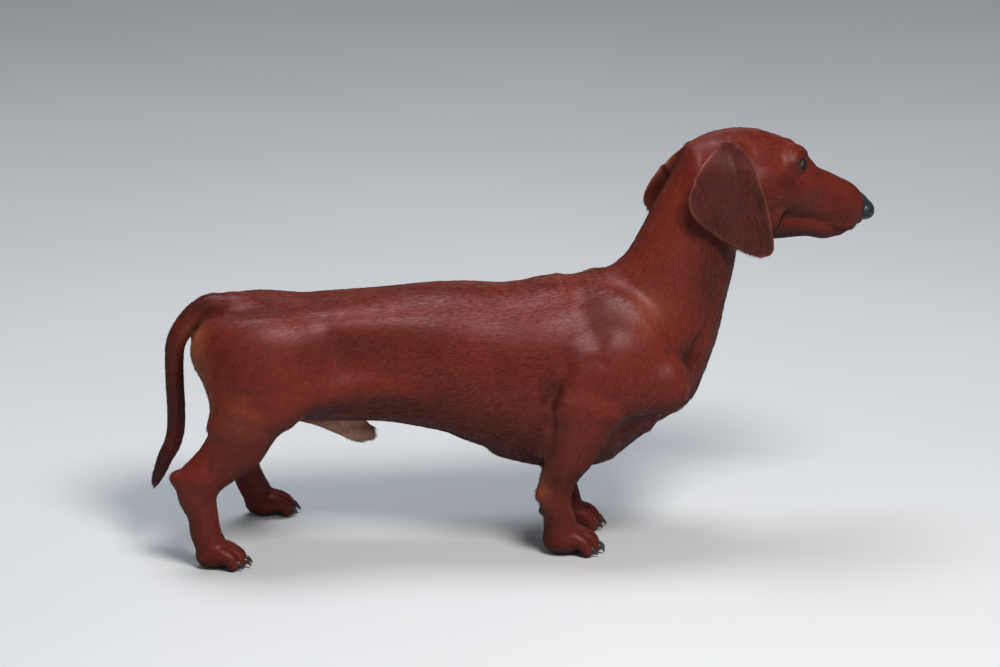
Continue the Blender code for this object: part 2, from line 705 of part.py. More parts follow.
def part_into_nodes(whole, group):
    """Separate the cut body into its loose pieces, each named by the nearest place."""
    bpy.context.view_layer.objects.active = whole
    whole.select_set(True)
    bpy.ops.object.mode_set(mode="EDIT")
    bpy.ops.mesh.select_all(action="SELECT")
    bpy.ops.mesh.separate(type="LOOSE")
    bpy.ops.object.mode_set(mode="OBJECT")
    nodes = {}
    for piece in [item for item in group.objects if item.select_get()]:
        piece.select_set(False)
        if volume(piece.data) < CRUMB:
            bpy.data.objects.remove(piece)
            continue
        corners = np.array([tuple(corner) for corner in piece.bound_box])
        middle = (corners.min(axis=0) + corners.max(axis=0)) / 2
        name = min(NODE_PLACES, key=lambda key: np.linalg.norm(middle - NODE_PLACES[key]))
        piece.name = name
        nodes[name] = piece
    return nodes


def volume(mesh):
    """The volume that a closed mesh holds."""
    work = bmesh.new()
    work.from_mesh(mesh)
    result = work.calc_volume()
    work.free()
    return result


# ---------------------------------------------------------------------------
# Pieces of their own: eyes, ears and claws
# ---------------------------------------------------------------------------

def make_eye(side, head, group, cutters):
    """An eyeball, and the socket that it needs in the head."""
    place = on_head((EYE_PLACE[0], EYE_PLACE[1] * side, EYE_PLACE[2]))
    made = []
    for radius in (EYE_RADIUS + EYE_GAP, EYE_RADIUS):
        bpy.ops.mesh.primitive_uv_sphere_add(segments=14, ring_count=9, radius=radius,
                                             location=place)
        item = bpy.context.active_object
        item.data.transform(item.matrix_world)
        item.matrix_world = Matrix.Identity(4)
        made.append(item)
    socket, eye = made
    move_to(socket, cutters)
    move_to(eye, group)
    hide_cutter(socket)
    boolean(head, "DIFFERENCE", socket)
    eye.name = "eye_right" if side < 0 else "eye_left"
    return eye


def add_claws(node, paw, cutters):
    """Join a paw's claws to its node."""
    for index, claw in enumerate(paw.claws()):
        points, faces = claw.surface(steps=5)
        item = add_object("claw_%s_%d" % (node.name, index), points, faces, cutters)
        hide_cutter(item)
        boolean(node, "UNION", item)


def move_to(item, group):
    for holder in item.users_collection:
        holder.objects.unlink(item)
    group.objects.link(item)


def make_ear(side, neighbours, group, cutters):
    """An ear flap, trimmed back where it would enter the head or the neck."""
    name = "ear_right" if side < 0 else "ear_left"
    ear = mesh_from_forms(name, [ear_form(side)], (EAR_VOXEL,), group)
    decimate(ear, EAR_TRIANGLES)
    for neighbour in neighbours:
        cutter = neighbour.copy()
        cutter.data = neighbour.data.copy()
        cutter.name = "trim_" + name + "_" + neighbour.name
        cutters.objects.link(cutter)
        grow = cutter.modifiers.new("Displace", "DISPLACE")
        grow.strength = CUT
        grow.mid_level = 0
        apply_modifiers(cutter)
        hide_cutter(cutter)
        boolean(ear, "DIFFERENCE", cutter)
    keep_largest_piece(ear)
    return ear


def keep_largest_piece(item):
    """Drop crumbs that a trim has left beside the main piece."""
    work = bmesh.new()
    work.from_mesh(item.data)
    left = set(work.verts)
    pieces = []
    while left:
        piece = set()
        edge = [left.pop()]
        while edge:
            vertex = edge.pop()
            piece.add(vertex)
            for link in vertex.link_edges:
                other = link.other_vert(vertex)
                if other in left:
                    left.remove(other)
                    edge.append(other)
        pieces.append(piece)
    pieces.sort(key=len)
    for piece in pieces[:-1]:
        bmesh.ops.delete(work, geom=list(piece), context="VERTS")
    work.to_mesh(item.data)
    work.free()


def box_centre(items):
    """The middle of the box round all the items."""
    corners = np.array([tuple(corner) for item in items for corner in item.bound_box])
    return (corners.min(axis=0) + corners.max(axis=0)) / 2


# ---------------------------------------------------------------------------
# Materials and the finished model
# ---------------------------------------------------------------------------

COAT = ((0.135, 0.027, 0.012), 0.42)
DARK_COAT = ((0.055, 0.012, 0.008), 0.45)
EAR_COAT = ((0.075, 0.018, 0.012), 0.5)
LEATHER = ((0.012, 0.01, 0.012), 0.35)
EYE = ((0.02, 0.008, 0.004), 0.08)

FINISHES = {"nose": LEATHER, "eye_right": EYE, "eye_left": EYE, "ear_right": EAR_COAT,
            "ear_left": EAR_COAT, "tail_upper": DARK_COAT, "tail_lower": DARK_COAT}


def finish(item, centre):
    """Give a node its own Principled material, and bring it to metres about the origin."""
    colour, roughness = FINISHES.get(item.name, COAT)
    material = bpy.data.materials.new(item.name)
    material.use_nodes = True
    shader = material.node_tree.nodes["Principled BSDF"]
    shader.inputs["Base Color"].default_value = (*colour, 1)
    shader.inputs["Roughness"].default_value = roughness
    shader.inputs["Metallic"].default_value = 0
    item.data.materials.clear()
    item.data.materials.append(material)
    shift = Matrix.Translation((-centre[0], -centre[1], 0))
    item.data.transform(Matrix.Scale(MM, 4) @ shift)
    item.data.shade_smooth()
    item.data.set_sharp_from_angle(angle=math.radians(40))


def build_dog():
    clear_scene()
    group = collection(COLLECTION)
    cutters = collection("cutters")
    whole = mesh_from_forms("body", dog_forms(), (COARSE_VOXEL, FINE_VOXEL), group)
    decimate(whole, BODY_TRIANGLES)
    floor = box_cutter("floor", (0, 0, -20), (900, 500, 40), np.eye(3), cutters)
    boolean(whole, "DIFFERENCE", floor)
    cuts = body_cuts(cutters) + face_cuts(cutters)
    cuts += foreleg_cuts(-1, (-31, 62), -47, (29, -42, 33), cutters)
    cuts += foreleg_cuts(1, (14, 62), 46, (38, 28, 33), cutters)
    cuts += hindleg_cuts(-1, (-263, -46, 58), cutters)
    cuts += hindleg_cuts(1, (-236, 62, 60), cutters)
    for cut in cuts:
        boolean(whole, "DIFFERENCE", cut)
    nodes = part_into_nodes(whole, group)
    for name, paw in PAWS.items():
        add_claws(nodes[name], paw, cutters)
    for side in (-1, 1):
        make_eye(side, nodes["head"], group, cutters)
        make_ear(side, (nodes["head"], nodes["neck"]), group, cutters)
    centre = box_centre(group.objects)
    for item in group.objects:
        finish(item, centre)


build_dog()
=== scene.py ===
"""The dachshund's looks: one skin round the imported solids, its short coat, eyes, nose and claws.

The skin comes from the same forms as the solids, in millimetres in the dog's own frame, drawn in
by the depth of the coat, with the lids, nostrils, lips and folds carved in and a finer mesh on
the head and paws. Tufts of short hair lie on it along the lie of the coat.
"""

import math

import bmesh
import bpy
import numpy as np
from mathutils import Matrix, Vector

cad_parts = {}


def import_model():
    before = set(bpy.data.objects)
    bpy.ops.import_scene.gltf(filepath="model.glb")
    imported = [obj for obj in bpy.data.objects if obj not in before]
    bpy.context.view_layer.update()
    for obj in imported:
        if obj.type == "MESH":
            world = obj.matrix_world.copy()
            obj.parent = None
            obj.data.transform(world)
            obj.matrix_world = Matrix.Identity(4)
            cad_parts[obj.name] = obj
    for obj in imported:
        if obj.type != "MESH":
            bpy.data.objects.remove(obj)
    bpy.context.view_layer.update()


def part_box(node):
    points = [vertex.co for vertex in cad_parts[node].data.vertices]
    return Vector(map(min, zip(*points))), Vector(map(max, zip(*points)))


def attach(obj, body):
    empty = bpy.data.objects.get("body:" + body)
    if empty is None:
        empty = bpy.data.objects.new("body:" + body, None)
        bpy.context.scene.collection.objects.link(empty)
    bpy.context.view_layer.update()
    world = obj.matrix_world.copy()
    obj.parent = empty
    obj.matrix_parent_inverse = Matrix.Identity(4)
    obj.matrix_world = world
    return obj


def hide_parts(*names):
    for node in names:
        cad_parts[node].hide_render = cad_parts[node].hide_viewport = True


MM = 0.001                      # the forms' unit in metres
BODY_VOXEL = 2.1                # the skin's mesh on the trunk, mm
ROUGH_VOXEL = 2.9               # and of the first remesh

# --- The field: each form is a distance in millimetres, and forms melt together ---

FAR = 1000.0            # distance given to points that a form cannot reach
REACH = 14.0            # how far outside its own box a form is still worked out
RINGS_PER_SPAN = 5      # samples between two stations of a tube


def unit(vector):
    """The vector at length one."""
    vector = np.asarray(vector, float)
    return vector / np.linalg.norm(vector, axis=-1, keepdims=True)


def shell_distance(local, radii, power=2.0):
    """Roughly how far points lie outside a squarish ellipsoid of these radii."""
    ratio = np.abs(local) / radii + 1e-6
    level = (ratio ** power).sum(axis=1) ** (1.0 / power)
    slope = np.linalg.norm(ratio ** (power - 1) / radii, axis=1) * level ** (1 - power)
    return (level - 1.0) / slope


class Ball:
    """An ellipsoid: centre, radii along its own axes, and those axes' direction."""

    def __init__(self, centre, radii, along=(1, 0, 0), over=(0, 0, 1), blend=10.0):
        self.centre = np.array(centre, float)
        self.radii = np.array(radii, float)
        first = unit(along)
        second = unit(np.cross(over, first))
        self.axes = np.stack([first, second, np.cross(first, second)])
        self.blend = blend
        reach = np.abs(self.axes.T * self.radii).sum(axis=1)
        self.low = self.centre - reach
        self.high = self.centre + reach

    def distance(self, points):
        return shell_distance((points - self.centre) @ self.axes.T, self.radii)

    def surface(self):
        """Points and faces of a ball of this form."""
        points, faces = globe(10, 16)
        return (points * self.radii) @ self.axes + self.centre, faces


class Tube:
    """A tube through stations (x, y, z, half width, half depth), smooth between them."""

    def __init__(self, stations, side=(0, 1, 0), power=2.0, blend=12.0, cap=0.8,
                 rings=RINGS_PER_SPAN):
        table = smooth_rows(np.array(stations, float), rings)
        self.spine = table[:, :3]
        self.width = table[:, 3]
        self.depth = table[:, 4]
        self.power = power
        self.blend = blend
        self.cap = cap
        self.run = unit(np.gradient(self.spine, axis=0))
        self.deep = unit(np.cross(self.run, side))
        self.side = np.cross(self.deep, self.run)
        reach = np.maximum(self.width, self.depth)[:, None]
        self.low = (self.spine - reach).min(axis=0)
        self.high = (self.spine + reach).max(axis=0)

    def distance(self, points):
        start = self.spine[:-1]
        span = self.spine[1:] - start
        length2 = (span ** 2).sum(axis=1)
        along = points @ span.T - (start * span).sum(axis=1)
        share = np.clip(along / length2, 0.0, 1.0)
        gap2 = ((points ** 2).sum(axis=1)[:, None] - 2 * (points @ start.T)
                + (start ** 2).sum(axis=1) - 2 * share * along + share ** 2 * length2)
        index = gap2.argmin(axis=1)
        t = share[np.arange(len(points)), index][:, None]

        def at(rows):
            rows = rows.reshape(len(rows), -1)
            return rows[index] * (1 - t) + rows[index + 1] * t

        offset = points - at(self.spine)
        width = at(self.width)[:, 0]
        depth = at(self.depth)[:, 0]
        local = np.stack([(offset * at(self.run)).sum(axis=1),
                          (offset * at(self.side)).sum(axis=1),
                          (offset * at(self.deep)).sum(axis=1)], axis=1)
        radii = np.stack([np.minimum(width, depth) * self.cap, width, depth], axis=1)
        return shell_distance(local, radii, self.power)

    def surface(self, steps=16):
        """Points and faces of the tube: a ring at each sample and a pole at each end."""
        turn = np.arange(steps) * 2 * math.pi / steps
        rings = [centre + np.outer(np.cos(turn) * w, s) + np.outer(np.sin(turn) * d, v)
                 for centre, w, d, s, v in zip(self.spine, self.width, self.depth, self.side,
                                               self.deep)]
        thin = np.minimum(self.width, self.depth)
        tips = [self.spine[end] + way * self.run[end] * thin[end] * self.cap
                for end, way in ((0, -1), (-1, 1))]
        return np.vstack(rings + tips), tube_faces(len(rings), steps)


def tube_faces(rings, steps):
    """Faces of a closed tube of rings, whose two poles are its last two points."""
    step = np.arange(steps)
    after = (step + 1) % steps
    first, last = rings * steps, rings * steps + 1
    faces = []
    for ring in np.arange(rings - 1) * steps:
        faces += zip(ring + step, ring + after, ring + steps + after, ring + steps + step)
    faces += [face for here, there in zip(step, after)
              for face in ((first, there, here),
                           (last, first - steps + here, first - steps + there))]
    return [tuple(int(index) for index in face) for face in faces]


def globe(rings, steps, radius=1.0):
    """Points and faces of a ball of rings round X, whose radius may change from ring to ring."""
    tilt = np.linspace(0, math.pi, rings + 1)[1:-1]
    turn = np.arange(steps) * 2 * math.pi / steps
    radius = np.broadcast_to(radius, tilt.shape)
    grid = np.stack([np.repeat(np.cos(tilt) * radius, steps),
                     np.outer(np.sin(tilt) * radius, np.cos(turn)).ravel(),
                     np.outer(np.sin(tilt) * radius, np.sin(turn)).ravel()], axis=1)
    return np.vstack([grid, [(radius[0], 0, 0), (-radius[-1], 0, 0)]]), tube_faces(rings - 1, steps)


def smooth_rows(rows, per_span):
    """Rows of a table with smooth Catmull-Rom rows between them."""
    padded = np.vstack([2 * rows[0] - rows[1], rows, 2 * rows[-1] - rows[-2]])
    result = []
    for index in range(1, len(rows)):
        before, start, end, after = padded[index - 1:index + 3]
        for t in np.arange(per_span) / per_span:
            result.append(0.5 * (2 * start + (end - before) * t
                                 + (2 * before - 5 * start + 4 * end - after) * t ** 2
                                 + (3 * start - before - 3 * end + after) * t ** 3))
    result.append(rows[-1])
    return np.array(result)


def ramp(value, start, end):
    """From 0 at the start to 1 at the end, whichever of them is the higher."""
    return np.clip((value - start) / (end - start), 0.0, 1.0)


def bell(value, width):
    """1 at nought, falling off smoothly on either side."""
    return np.exp(-(value / width) ** 2)


def within(points, low, high, margin=0.0):
    """Which points lie in a box, or less than the margin outside it."""
    return ((points > low - margin) & (points < high + margin)).all(axis=1)


def melt(first, second, width):
    """The smaller of two distances, rounded off where they are close."""
    share = np.clip(0.5 + 0.5 * (second - first) / width, 0.0, 1.0)
    return second + (first - second) * share - width * share * (1 - share)


def field(points, forms):
    """Signed distance to all forms together."""
    total = np.full(len(points), FAR)
    for form in forms:
        margin = REACH + form.blend
        near = within(points, form.low, form.high, margin)
        if near.any():
            total[near] = melt(total[near], form.distance(points[near]), form.blend)
    return total


def settle(points, distance, rounds=5, step=3.0):
    """Move points onto the zero of a distance function, and give their slopes."""
    probe = 0.05
    corners = np.array([(1, -1, -1), (-1, -1, 1), (-1, 1, -1), (1, 1, 1)], float)
    slope = None
    for _ in range(rounds):
        values = [distance(points + corner * probe) for corner in corners]
        slope = sum(np.outer(value, corner) for value, corner in zip(values, corners)) / (4 * probe)
        level = sum(values) / 4
        size2 = np.maximum((slope ** 2).sum(axis=1), 0.05)
        move = np.clip(level / np.sqrt(size2), -step, step) / np.sqrt(size2)
        points = points - slope * move[:, None]
    return points, unit(slope)


# --- The dog's forms, in millimetres: +X forward, +Y to its left, +Z up, floor at 0 ---

HEAD_PIVOT = (150.0, 4.0, 300.0)     # where the skull sits on the neck
HEAD_TURN = math.radians(12)         # the face is turned to the dog's left
HEAD_DROP = math.radians(16)         # and the muzzle points a little down
EYE_PLACE = (63.8, 16.9, 33.0)       # in the head's own axes
EYE_RADIUS = 9.3


def head_axes():
    """Rows: the head's forward, left and up directions."""
    turn = np.array([[math.cos(HEAD_TURN), -math.sin(HEAD_TURN), 0],
                     [math.sin(HEAD_TURN), math.cos(HEAD_TURN), 0], [0, 0, 1]])
    drop = np.array([[math.cos(HEAD_DROP), 0, math.sin(HEAD_DROP)], [0, 1, 0],
                     [-math.sin(HEAD_DROP), 0, math.cos(HEAD_DROP)]])
    return (turn @ drop).T


HEAD_AXES = head_axes()


def on_head(points):
    """Points given in the head's own axes, as places on the standing dog."""
    return np.asarray(points, float) @ HEAD_AXES + np.array(HEAD_PIVOT)


def in_head(points):
    """Places on the standing dog, given in the head's own axes."""
    return (points - np.array(HEAD_PIVOT)) @ HEAD_AXES.T


def head_ball(place, radii, blend, along=(1, 0, 0), over=(0, 0, 1)):
    return Ball(on_head(place), radii, np.asarray(along, float) @ HEAD_AXES,
                np.asarray(over, float) @ HEAD_AXES, blend)


def head_tube(rows, blend, power=2.0, cap=0.8):
    """A tube on the head: rows are (forward, left, up, half width, half depth)."""
    rows = np.array(rows, float)
    return Tube(np.hstack([on_head(rows[:, :3]), rows[:, 3:]]), HEAD_AXES[1], power, blend, cap)


def trunk_forms():
    # Along the back: forward, top, bottom, half width.
    outline = np.array([(-248, 199, 172, 14), (-238, 203, 158, 26), (-220, 206, 136, 37),
                        (-195, 206.5, 118, 44), (-165, 209, 111, 46), (-135, 212.5, 109, 45),
                        (-105, 217, 107, 46), (-75, 220, 102, 49), (-45, 220.5, 95, 54),
                        (-15, 219.5, 83, 59), (15, 222.5, 71, 62), (45, 224, 68, 61),
                        (72, 224, 77, 56), (98, 212, 93, 47), (118, 196, 110, 36),
                        (131, 172, 126, 22)], float)
    rows = np.stack([outline[:, 0], 0 * outline[:, 0], (outline[:, 1] + outline[:, 2]) / 2,
                     outline[:, 3], (outline[:, 1] - outline[:, 2]) / 2], axis=1)
    forms = [Tube(rows, power=2.25, blend=20, cap=0.35)]
    forms.append(Tube([(-10, 0, 88, 16, 14), (30, 0, 81, 18, 16), (62, 0, 82, 19, 16),
                       (88, 0, 99, 19, 15), (112, 0, 117, 16, 13), (134, 0, 131, 10, 10)],
                      blend=14))
    for side in (-1, 1):
        forms.append(Ball((106, 22 * side, 124), (28, 18, 19), (1, 0, 0.7), blend=14))
        forms.append(Ball((-140, 24 * side, 194), (70, 16, 14), blend=14))
        forms.append(Ball((-236, 27 * side, 177), (27, 17, 28), blend=18))
        forms.append(Tube([(-186, 48 * side, 137, 7, 7), (-165, 46 * side, 142, 7, 8),
                           (-138, 42 * side, 146, 6, 8), (-108, 40 * side, 146, 5, 6),
                           (-84, 41 * side, 142, 3, 4)], blend=16))
    return forms


def neck_forms():
    return [Tube([(91, 0, 159, 49, 62), (103, 0, 176, 46, 60.5), (117, 0, 198.5, 40, 54),
                  (129, 0, 222, 35, 45.5), (138.5, 1, 247, 32, 41), (146.5, 3, 271, 30, 37),
                  (154.5, 5, 291, 28.5, 33), (163, 7, 308, 26, 27)], blend=18, cap=0.5)]


def shoulder_forms(side):
    return [
        Ball((87, 41 * side, 179), (47, 12, 25), (-50, -22 * side, 76), (-76, 0, -50), blend=14),
        Ball((121, 43 * side, 143), (16, 15, 19), blend=12),
        Tube([(117, 44 * side, 143, 14, 18), (80, 49 * side, 139, 15, 20),
              (40, 54 * side, 131, 14, 17)], blend=14),
        Ball((62, 48 * side, 156), (34, 15, 25), (1, 0, 0.5), blend=16),
        Ball((31, 58 * side, 130), (10, 9, 10), blend=8),
    ]


def foreleg_forms(side, carpus, paw):
    """Forearm from the elbow to the carpus, then the pastern and the paw."""
    cx, cy, cz = carpus
    fx, fy = paw.base[:2]
    forms = [Tube([(55, 55 * side, 128, 17, 24), (48, 54 * side, 110, 17, 22.5),
                   (cx + 14, cy + 9 * side, cz + 38, 15.5, 19.5),
                   (cx + 6, cy + 6 * side, cz + 22, 13.5, 16.5),
                   (cx + 1.5, cy + 2 * side, cz + 9, 12.5, 14.8), (cx, cy, cz - 3, 12, 14),
                   (cx + 1, cy, cz - 13, 11.5, 12.5),
                   (cx + (fx - cx) * 0.25, cy + (fy - cy) * 0.4, cz - 25, 12, 13),
                   (cx + (fx - cx) * 0.4, cy + (fy - cy) * 0.7, cz - 38, 13.5, 14.5)], blend=9),
             Ball((cx - 11, cy + 2 * side, cz - 1), (5, 5, 6.5), blend=5),
             Ball((cx - 11.2, cy, cz - 16), (3.2, 4, 3.4), blend=4)]
    return forms + paw.forms()


class Paw:
    """Where a paw stands: its middle on the floor, its heading and its size."""

    def __init__(self, foot, heading, length, width, height):
        self.turn = np.array([(math.cos(heading), math.sin(heading), 0),
                              (-math.sin(heading), math.cos(heading), 0), (0, 0, 1)])
        self.base = np.array([foot[0], foot[1], 0.0])
        self.length = length
        self.width = width
        self.height = height

    def place(self, rows):
        """Rows given along the paw, across it and up, as rows on the standing dog."""
        rows = np.array(rows, float)
        rows[:, :3] = rows[:, :3] @ self.turn + self.base
        return rows

    def toes(self):
        """How far out and how far forward each toe reaches: the middle two lead."""
        for toe in (-1.5, -0.5, 0.5, 1.5):
            yield toe * self.width * 0.235, self.length * (0.5 if abs(toe) < 1 else 0.38)

    def forms(self):
        middle = self.place([(-0.12 * self.length, 0, 0.45 * self.height)])[0]
        forms = [Ball(middle, (0.36 * self.length, 0.42 * self.width, 0.5 * self.height),
                      self.turn[0], blend=7)]
        for out, reach in self.toes():
            rows = [(-0.1 * self.length, out * 0.6, 0.62 * self.height, 4.5, 5),
                    (reach - 15, out * 0.9, 0.66 * self.height, 4.7, 6),
                    (reach - 8, out, 0.48 * self.height, 4.9, 6),
                    (reach - 4.5, out * 1.05, 0.21 * self.height, 4.4, 5)]
            forms.append(Tube(self.place(rows), self.turn[1], blend=4.0, cap=0.9))
        return forms


FORE_PAW = (46, 34, 22)         # length, width and height
HIND_PAW = (41, 31, 20)
PAWS = {
    "forepaw_right": Paw((42, -36), -0.12, *FORE_PAW),
    "forepaw_left": Paw((50, 22), 0.12, *FORE_PAW),
    "hindpaw_right": Paw((-243, -44), -0.15, *HIND_PAW),
    "hindpaw_left": Paw((-200, 78), 0.2, *HIND_PAW),
}


def hindleg_forms(side, knee, hock, paw):
    """Thigh, knee, gaskin, hock and the paw below it."""
    knee = np.array(knee, float)
    hock = np.array(hock, float)
    fx, fy = paw.base[:2]
    shank = hock - knee

    def along(share, back=0.0):
        place = knee + shank * share
        return (place[0] - back, place[1], place[2])

    forms = [
        Ball((-205, 38 * side, 165.5), (46, 22, 40.5), blend=20),
        Ball((-212, 45 * side, 144), (37, 18, 33), (1, 0, -0.25), blend=14),
        Tube([(*along(-0.02, 29), 12.5, 25.5), (*along(0.22, 18), 14.5, 27.5),
              (*along(0.45, 7), 13.5, 25), (*along(0.7, 2), 11.5, 20),
              (*along(0.95), 10.5, 17)], blend=12, cap=0.5),
        Ball((knee[0] - 4, knee[1], knee[2] + 4), (11, 10.5, 12), blend=12),
        Tube([(hock[0], hock[1], hock[2] + 4, 10, 17),
              (hock[0] + 1, hock[1], hock[2] - 12, 9.7, 15.5),
              (hock[0] + 5, hock[1] + (fy - hock[1]) * 0.3, hock[2] - 28, 9.2, 12.6),
              (hock[0] + (fx - hock[0]) * 0.36, hock[1] + (fy - hock[1]) * 0.6, hock[2] - 43,
               9.5, 12.5),
              (hock[0] + (fx - hock[0]) * 0.66, fy, 14, 10.5, 12.5)], blend=8),
        Ball((hock[0] - 12, hock[1], hock[2] + 3), (6, 6, 9), (0.4, 0, 1), blend=7),
    ]
    return forms + paw.forms()


def head_forms():
    forms = [
        # Skull, from the occiput to the stop: forward, left, up, half width, half depth.
        head_tube([(-12, 0, 6, 21, 24), (2, 0, 7.5, 28.5, 33.5), (20, 0, 8, 31.5, 40.4),
                   (40, 0, 8, 32, 42.8), (58, 0, 10, 29, 39.4), (72, 0, 10, 24, 32),
                   (84, 0, 6, 19.5, 24.5)], 8, 2.1, 0.5),
        # Upper jaw out to the nose.
        head_tube([(66, 0, 11, 24, 25), (80, 0, 10, 22, 23.6), (91, 0, 8.5, 20, 22.8),
                   (102, 0, 7.5, 18.6, 22.5), (114, 0, 6, 17.4, 21.5), (126, 0, 5, 16.2, 20),
                   (136, 0, 4.2, 13.5, 15.6), (141, 0, 3.8, 10.5, 11.5)], 7, 2.3, 0.5),
        # Lower jaw from the throat to the chin.
        head_tube([(38, 0, -22, 24, 26), (58, 0, -20, 21, 18), (78, 0, -19, 18.5, 12.5),
                   (98, 0, -16.5, 16, 9.5), (113, 0, -16, 14.5, 9), (125, 0, -13, 11.5, 7.5)],
                  5, 2.2, 0.8),
        head_ball((-7, 0, 21), (9, 9, 8), 10),
        head_ball((145.6, 0, 6.2), (8.6, 9.2, 6.6), 3, (1, 0, -0.5)),
    ]
    for side in (-1, 1):
        forms += [
            head_ball((67.5, 11.5 * side, 40.3), (10.3, 7.5, 7), 5.5, (1, 0.25 * side, -0.1)),
            head_ball((54, 24 * side, 11), (26, 9, 13), 10, (1, -0.2 * side, 0)),
            head_ball((40, 24 * side, -14), (24, 10, 24), 10),
            head_ball((82, 15 * side, 13), (15, 7.5, 13.5), 8, (1, -0.3 * side, 0)),
            head_ball((124, 8.5 * side, -7.5), (14, 6.5, 7.5), 5),
        ]
    return forms


def tail_forms():
    # Croup to tip: forward, up, radius.
    bends = [(-222, 204.5, 11), (-236, 206.5, 10.4), (-247, 206.8, 9.8),
             (-256.5, 201.5, 9.5), (-264.5, 194, 9), (-271, 185, 8.5), (-275.5, 175, 8),
             (-277, 160, 7.6), (-277, 142, 7.5), (-276.5, 123, 7.4), (-277, 106, 7.3),
             (-280, 92, 7), (-286, 80, 6.4), (-291, 68, 5.3), (-295.5, 58, 3.5)]
    root = Tube([(-190, 0, 194, 17, 13), (-210, 0, 199.5, 16, 13), (-228, 0, 203.5, 13, 12)],
                blend=16, cap=0.7)
    return [root, Tube([(x, 0, z, r, r) for x, z, r in bends], blend=7, cap=1.3)]


def sheath_forms():
    return [Tube([(-182, 0, 117, 9, 8), (-162, 0, 112, 10.5, 9), (-144, 0, 104.5, 10, 9.5),
                  (-129, 0, 97.5, 9, 9.5), (-121, 0, 95.5, 7, 7)], blend=6),
            Ball((-220, 0, 138), (14, 12, 14), blend=7)]


def dog_forms():
    forms = trunk_forms() + neck_forms()
    for side in (-1, 1):
        forms += shoulder_forms(side)
    forms += foreleg_forms(-1, (27.5, -43, 55), PAWS["forepaw_right"])
    forms += foreleg_forms(1, (39, 30, 55), PAWS["forepaw_left"])
    forms += hindleg_forms(-1, (-192, -52, 129), (-262, -47, 73), PAWS["hindpaw_right"])
    forms += hindleg_forms(1, (-190, 52, 131), (-227, 61, 76), PAWS["hindpaw_left"])
    return forms + head_forms() + tail_forms() + sheath_forms()


# --- What only the skin shows: lids, nostrils and the roots of the ears ---

LID = 1.5                       # thickness of the lids over the eyeball
INNER_CANTHUS = (72.5, 13.3, 32.0)
OUTER_CANTHUS = (63.0, 26.1, 35.2)
HALF_OPENING = 7.5              # of the eye, from its middle to either corner
OPEN_ABOVE = 4.5
OPEN_BELOW = 3.7
EYE_DEPTH = 1.2                 # how far into the eyeball the opening goes
EYE_REACH = EYE_RADIUS + 6      # how far round the eye's middle an opening is worked out


def mirrored(place, side):
    return (place[0], place[1] * side, place[2])


def gaze(side):
    """The way an eye looks, in the head's axes: out through the middle of its opening."""
    middle = (np.array(INNER_CANTHUS) + OUTER_CANTHUS) / 2
    return unit(np.array(mirrored(middle - EYE_PLACE, side)))


class Opening:
    """The pointed opening between an eye's lids: where two arcs cross, down into the eyeball."""

    def __init__(self, side):
        inner = on_head(mirrored(INNER_CANTHUS, side))
        outer = on_head(mirrored(OUTER_CANTHUS, side))
        self.eye = on_head(mirrored(EYE_PLACE, side))
        self.floor = EYE_RADIUS - EYE_DEPTH
        out = gaze(side) @ HEAD_AXES
        along = unit(outer - inner - out * ((outer - inner) @ out))
        across = np.cross(out, along)
        if across[2] < 0:
            across = -across
        self.axes = np.stack([along, across, out])
        self.arcs = [((HALF_OPENING ** 2 + rise ** 2) / (2 * rise), rise)
                     for rise in (OPEN_ABOVE, OPEN_BELOW)]
        self.blend = 0.6
        self.low = self.eye - EYE_REACH
        self.high = self.eye + EYE_REACH

    def lens(self, local):
        """How far outside the two arcs places in the opening's own axes lie."""
        along, across = local[:, 0], local[:, 1]
        (upper, rise), (lower, fall) = self.arcs
        above = np.hypot(along, across + upper - rise) - upper
        below = np.hypot(along, across - lower + fall) - lower
        return np.maximum(above, below)

    def distance(self, points):
        local = (points - self.eye) @ self.axes.T
        depth = self.floor - np.linalg.norm(local, axis=1)
        return np.maximum.reduce([self.lens(local), depth, -local[:, 2]])

    def rim(self, points):
        """From 1 inside the opening and on its edge, down to 0 a little way out."""
        local = (points - self.eye) @ self.axes.T
        near = (np.linalg.norm(local, axis=1) < EYE_REACH) & (local[:, 2] > 0)
        return np.clip(1.4 - self.lens(local), 0, 1) * near


def eye_openings():
    return [Opening(side) for side in (-1, 1)]


def hollows():
    """Forms that are taken out of the skin."""
    nostrils = [head_ball((147, 8 * side, 4.8), (7, 4.5, 4), 1.5) for side in (-1, 1)]
    return eye_openings() + nostrils


def skin_forms():
    """The dog's forms, its eyelids, and the corners by which the ears hang from the skull."""
    forms = dog_forms()
    for side in (-1, 1):
        forms.append(head_ball(mirrored(EYE_PLACE, side), (EYE_RADIUS + LID,) * 3, 5))
        forms.append(head_ball((13, 22.5 * side, 31), (9, 6.5, 8), 5))
    return forms


# --- The ears ---

EAR_THICK = 2.0
EAR_INSET = 0.3                 # how far the skin's edge lies inside the solid ear's

# The ear's edge, forward and up from the head's pivot, from its front root round to the back.
EAR_OUTLINE = [(24, 30), (33, 14), (42, 1), (52, -18), (60, -35), (56, -44), (38, -43.5),
               (18, -38), (-2, -31), (-19, -21), (-25, -6), (-23, 12), (-15, 26), (-3, 37),
               (13, 37)]

# The left one is swept back behind the neck, so it hangs lower at the rear.
SWEPT_EAR_OUTLINE = [(24, 30), (32, 14), (40, 0), (48, -19), (49, -37), (39, -49), (20, -52),
                     (1, -50), (-16, -43), (-25.5, -33), (-26, -20), (-21, -6), (-15, 5),
                     (-8, 16), (0, 25), (11, 31)]


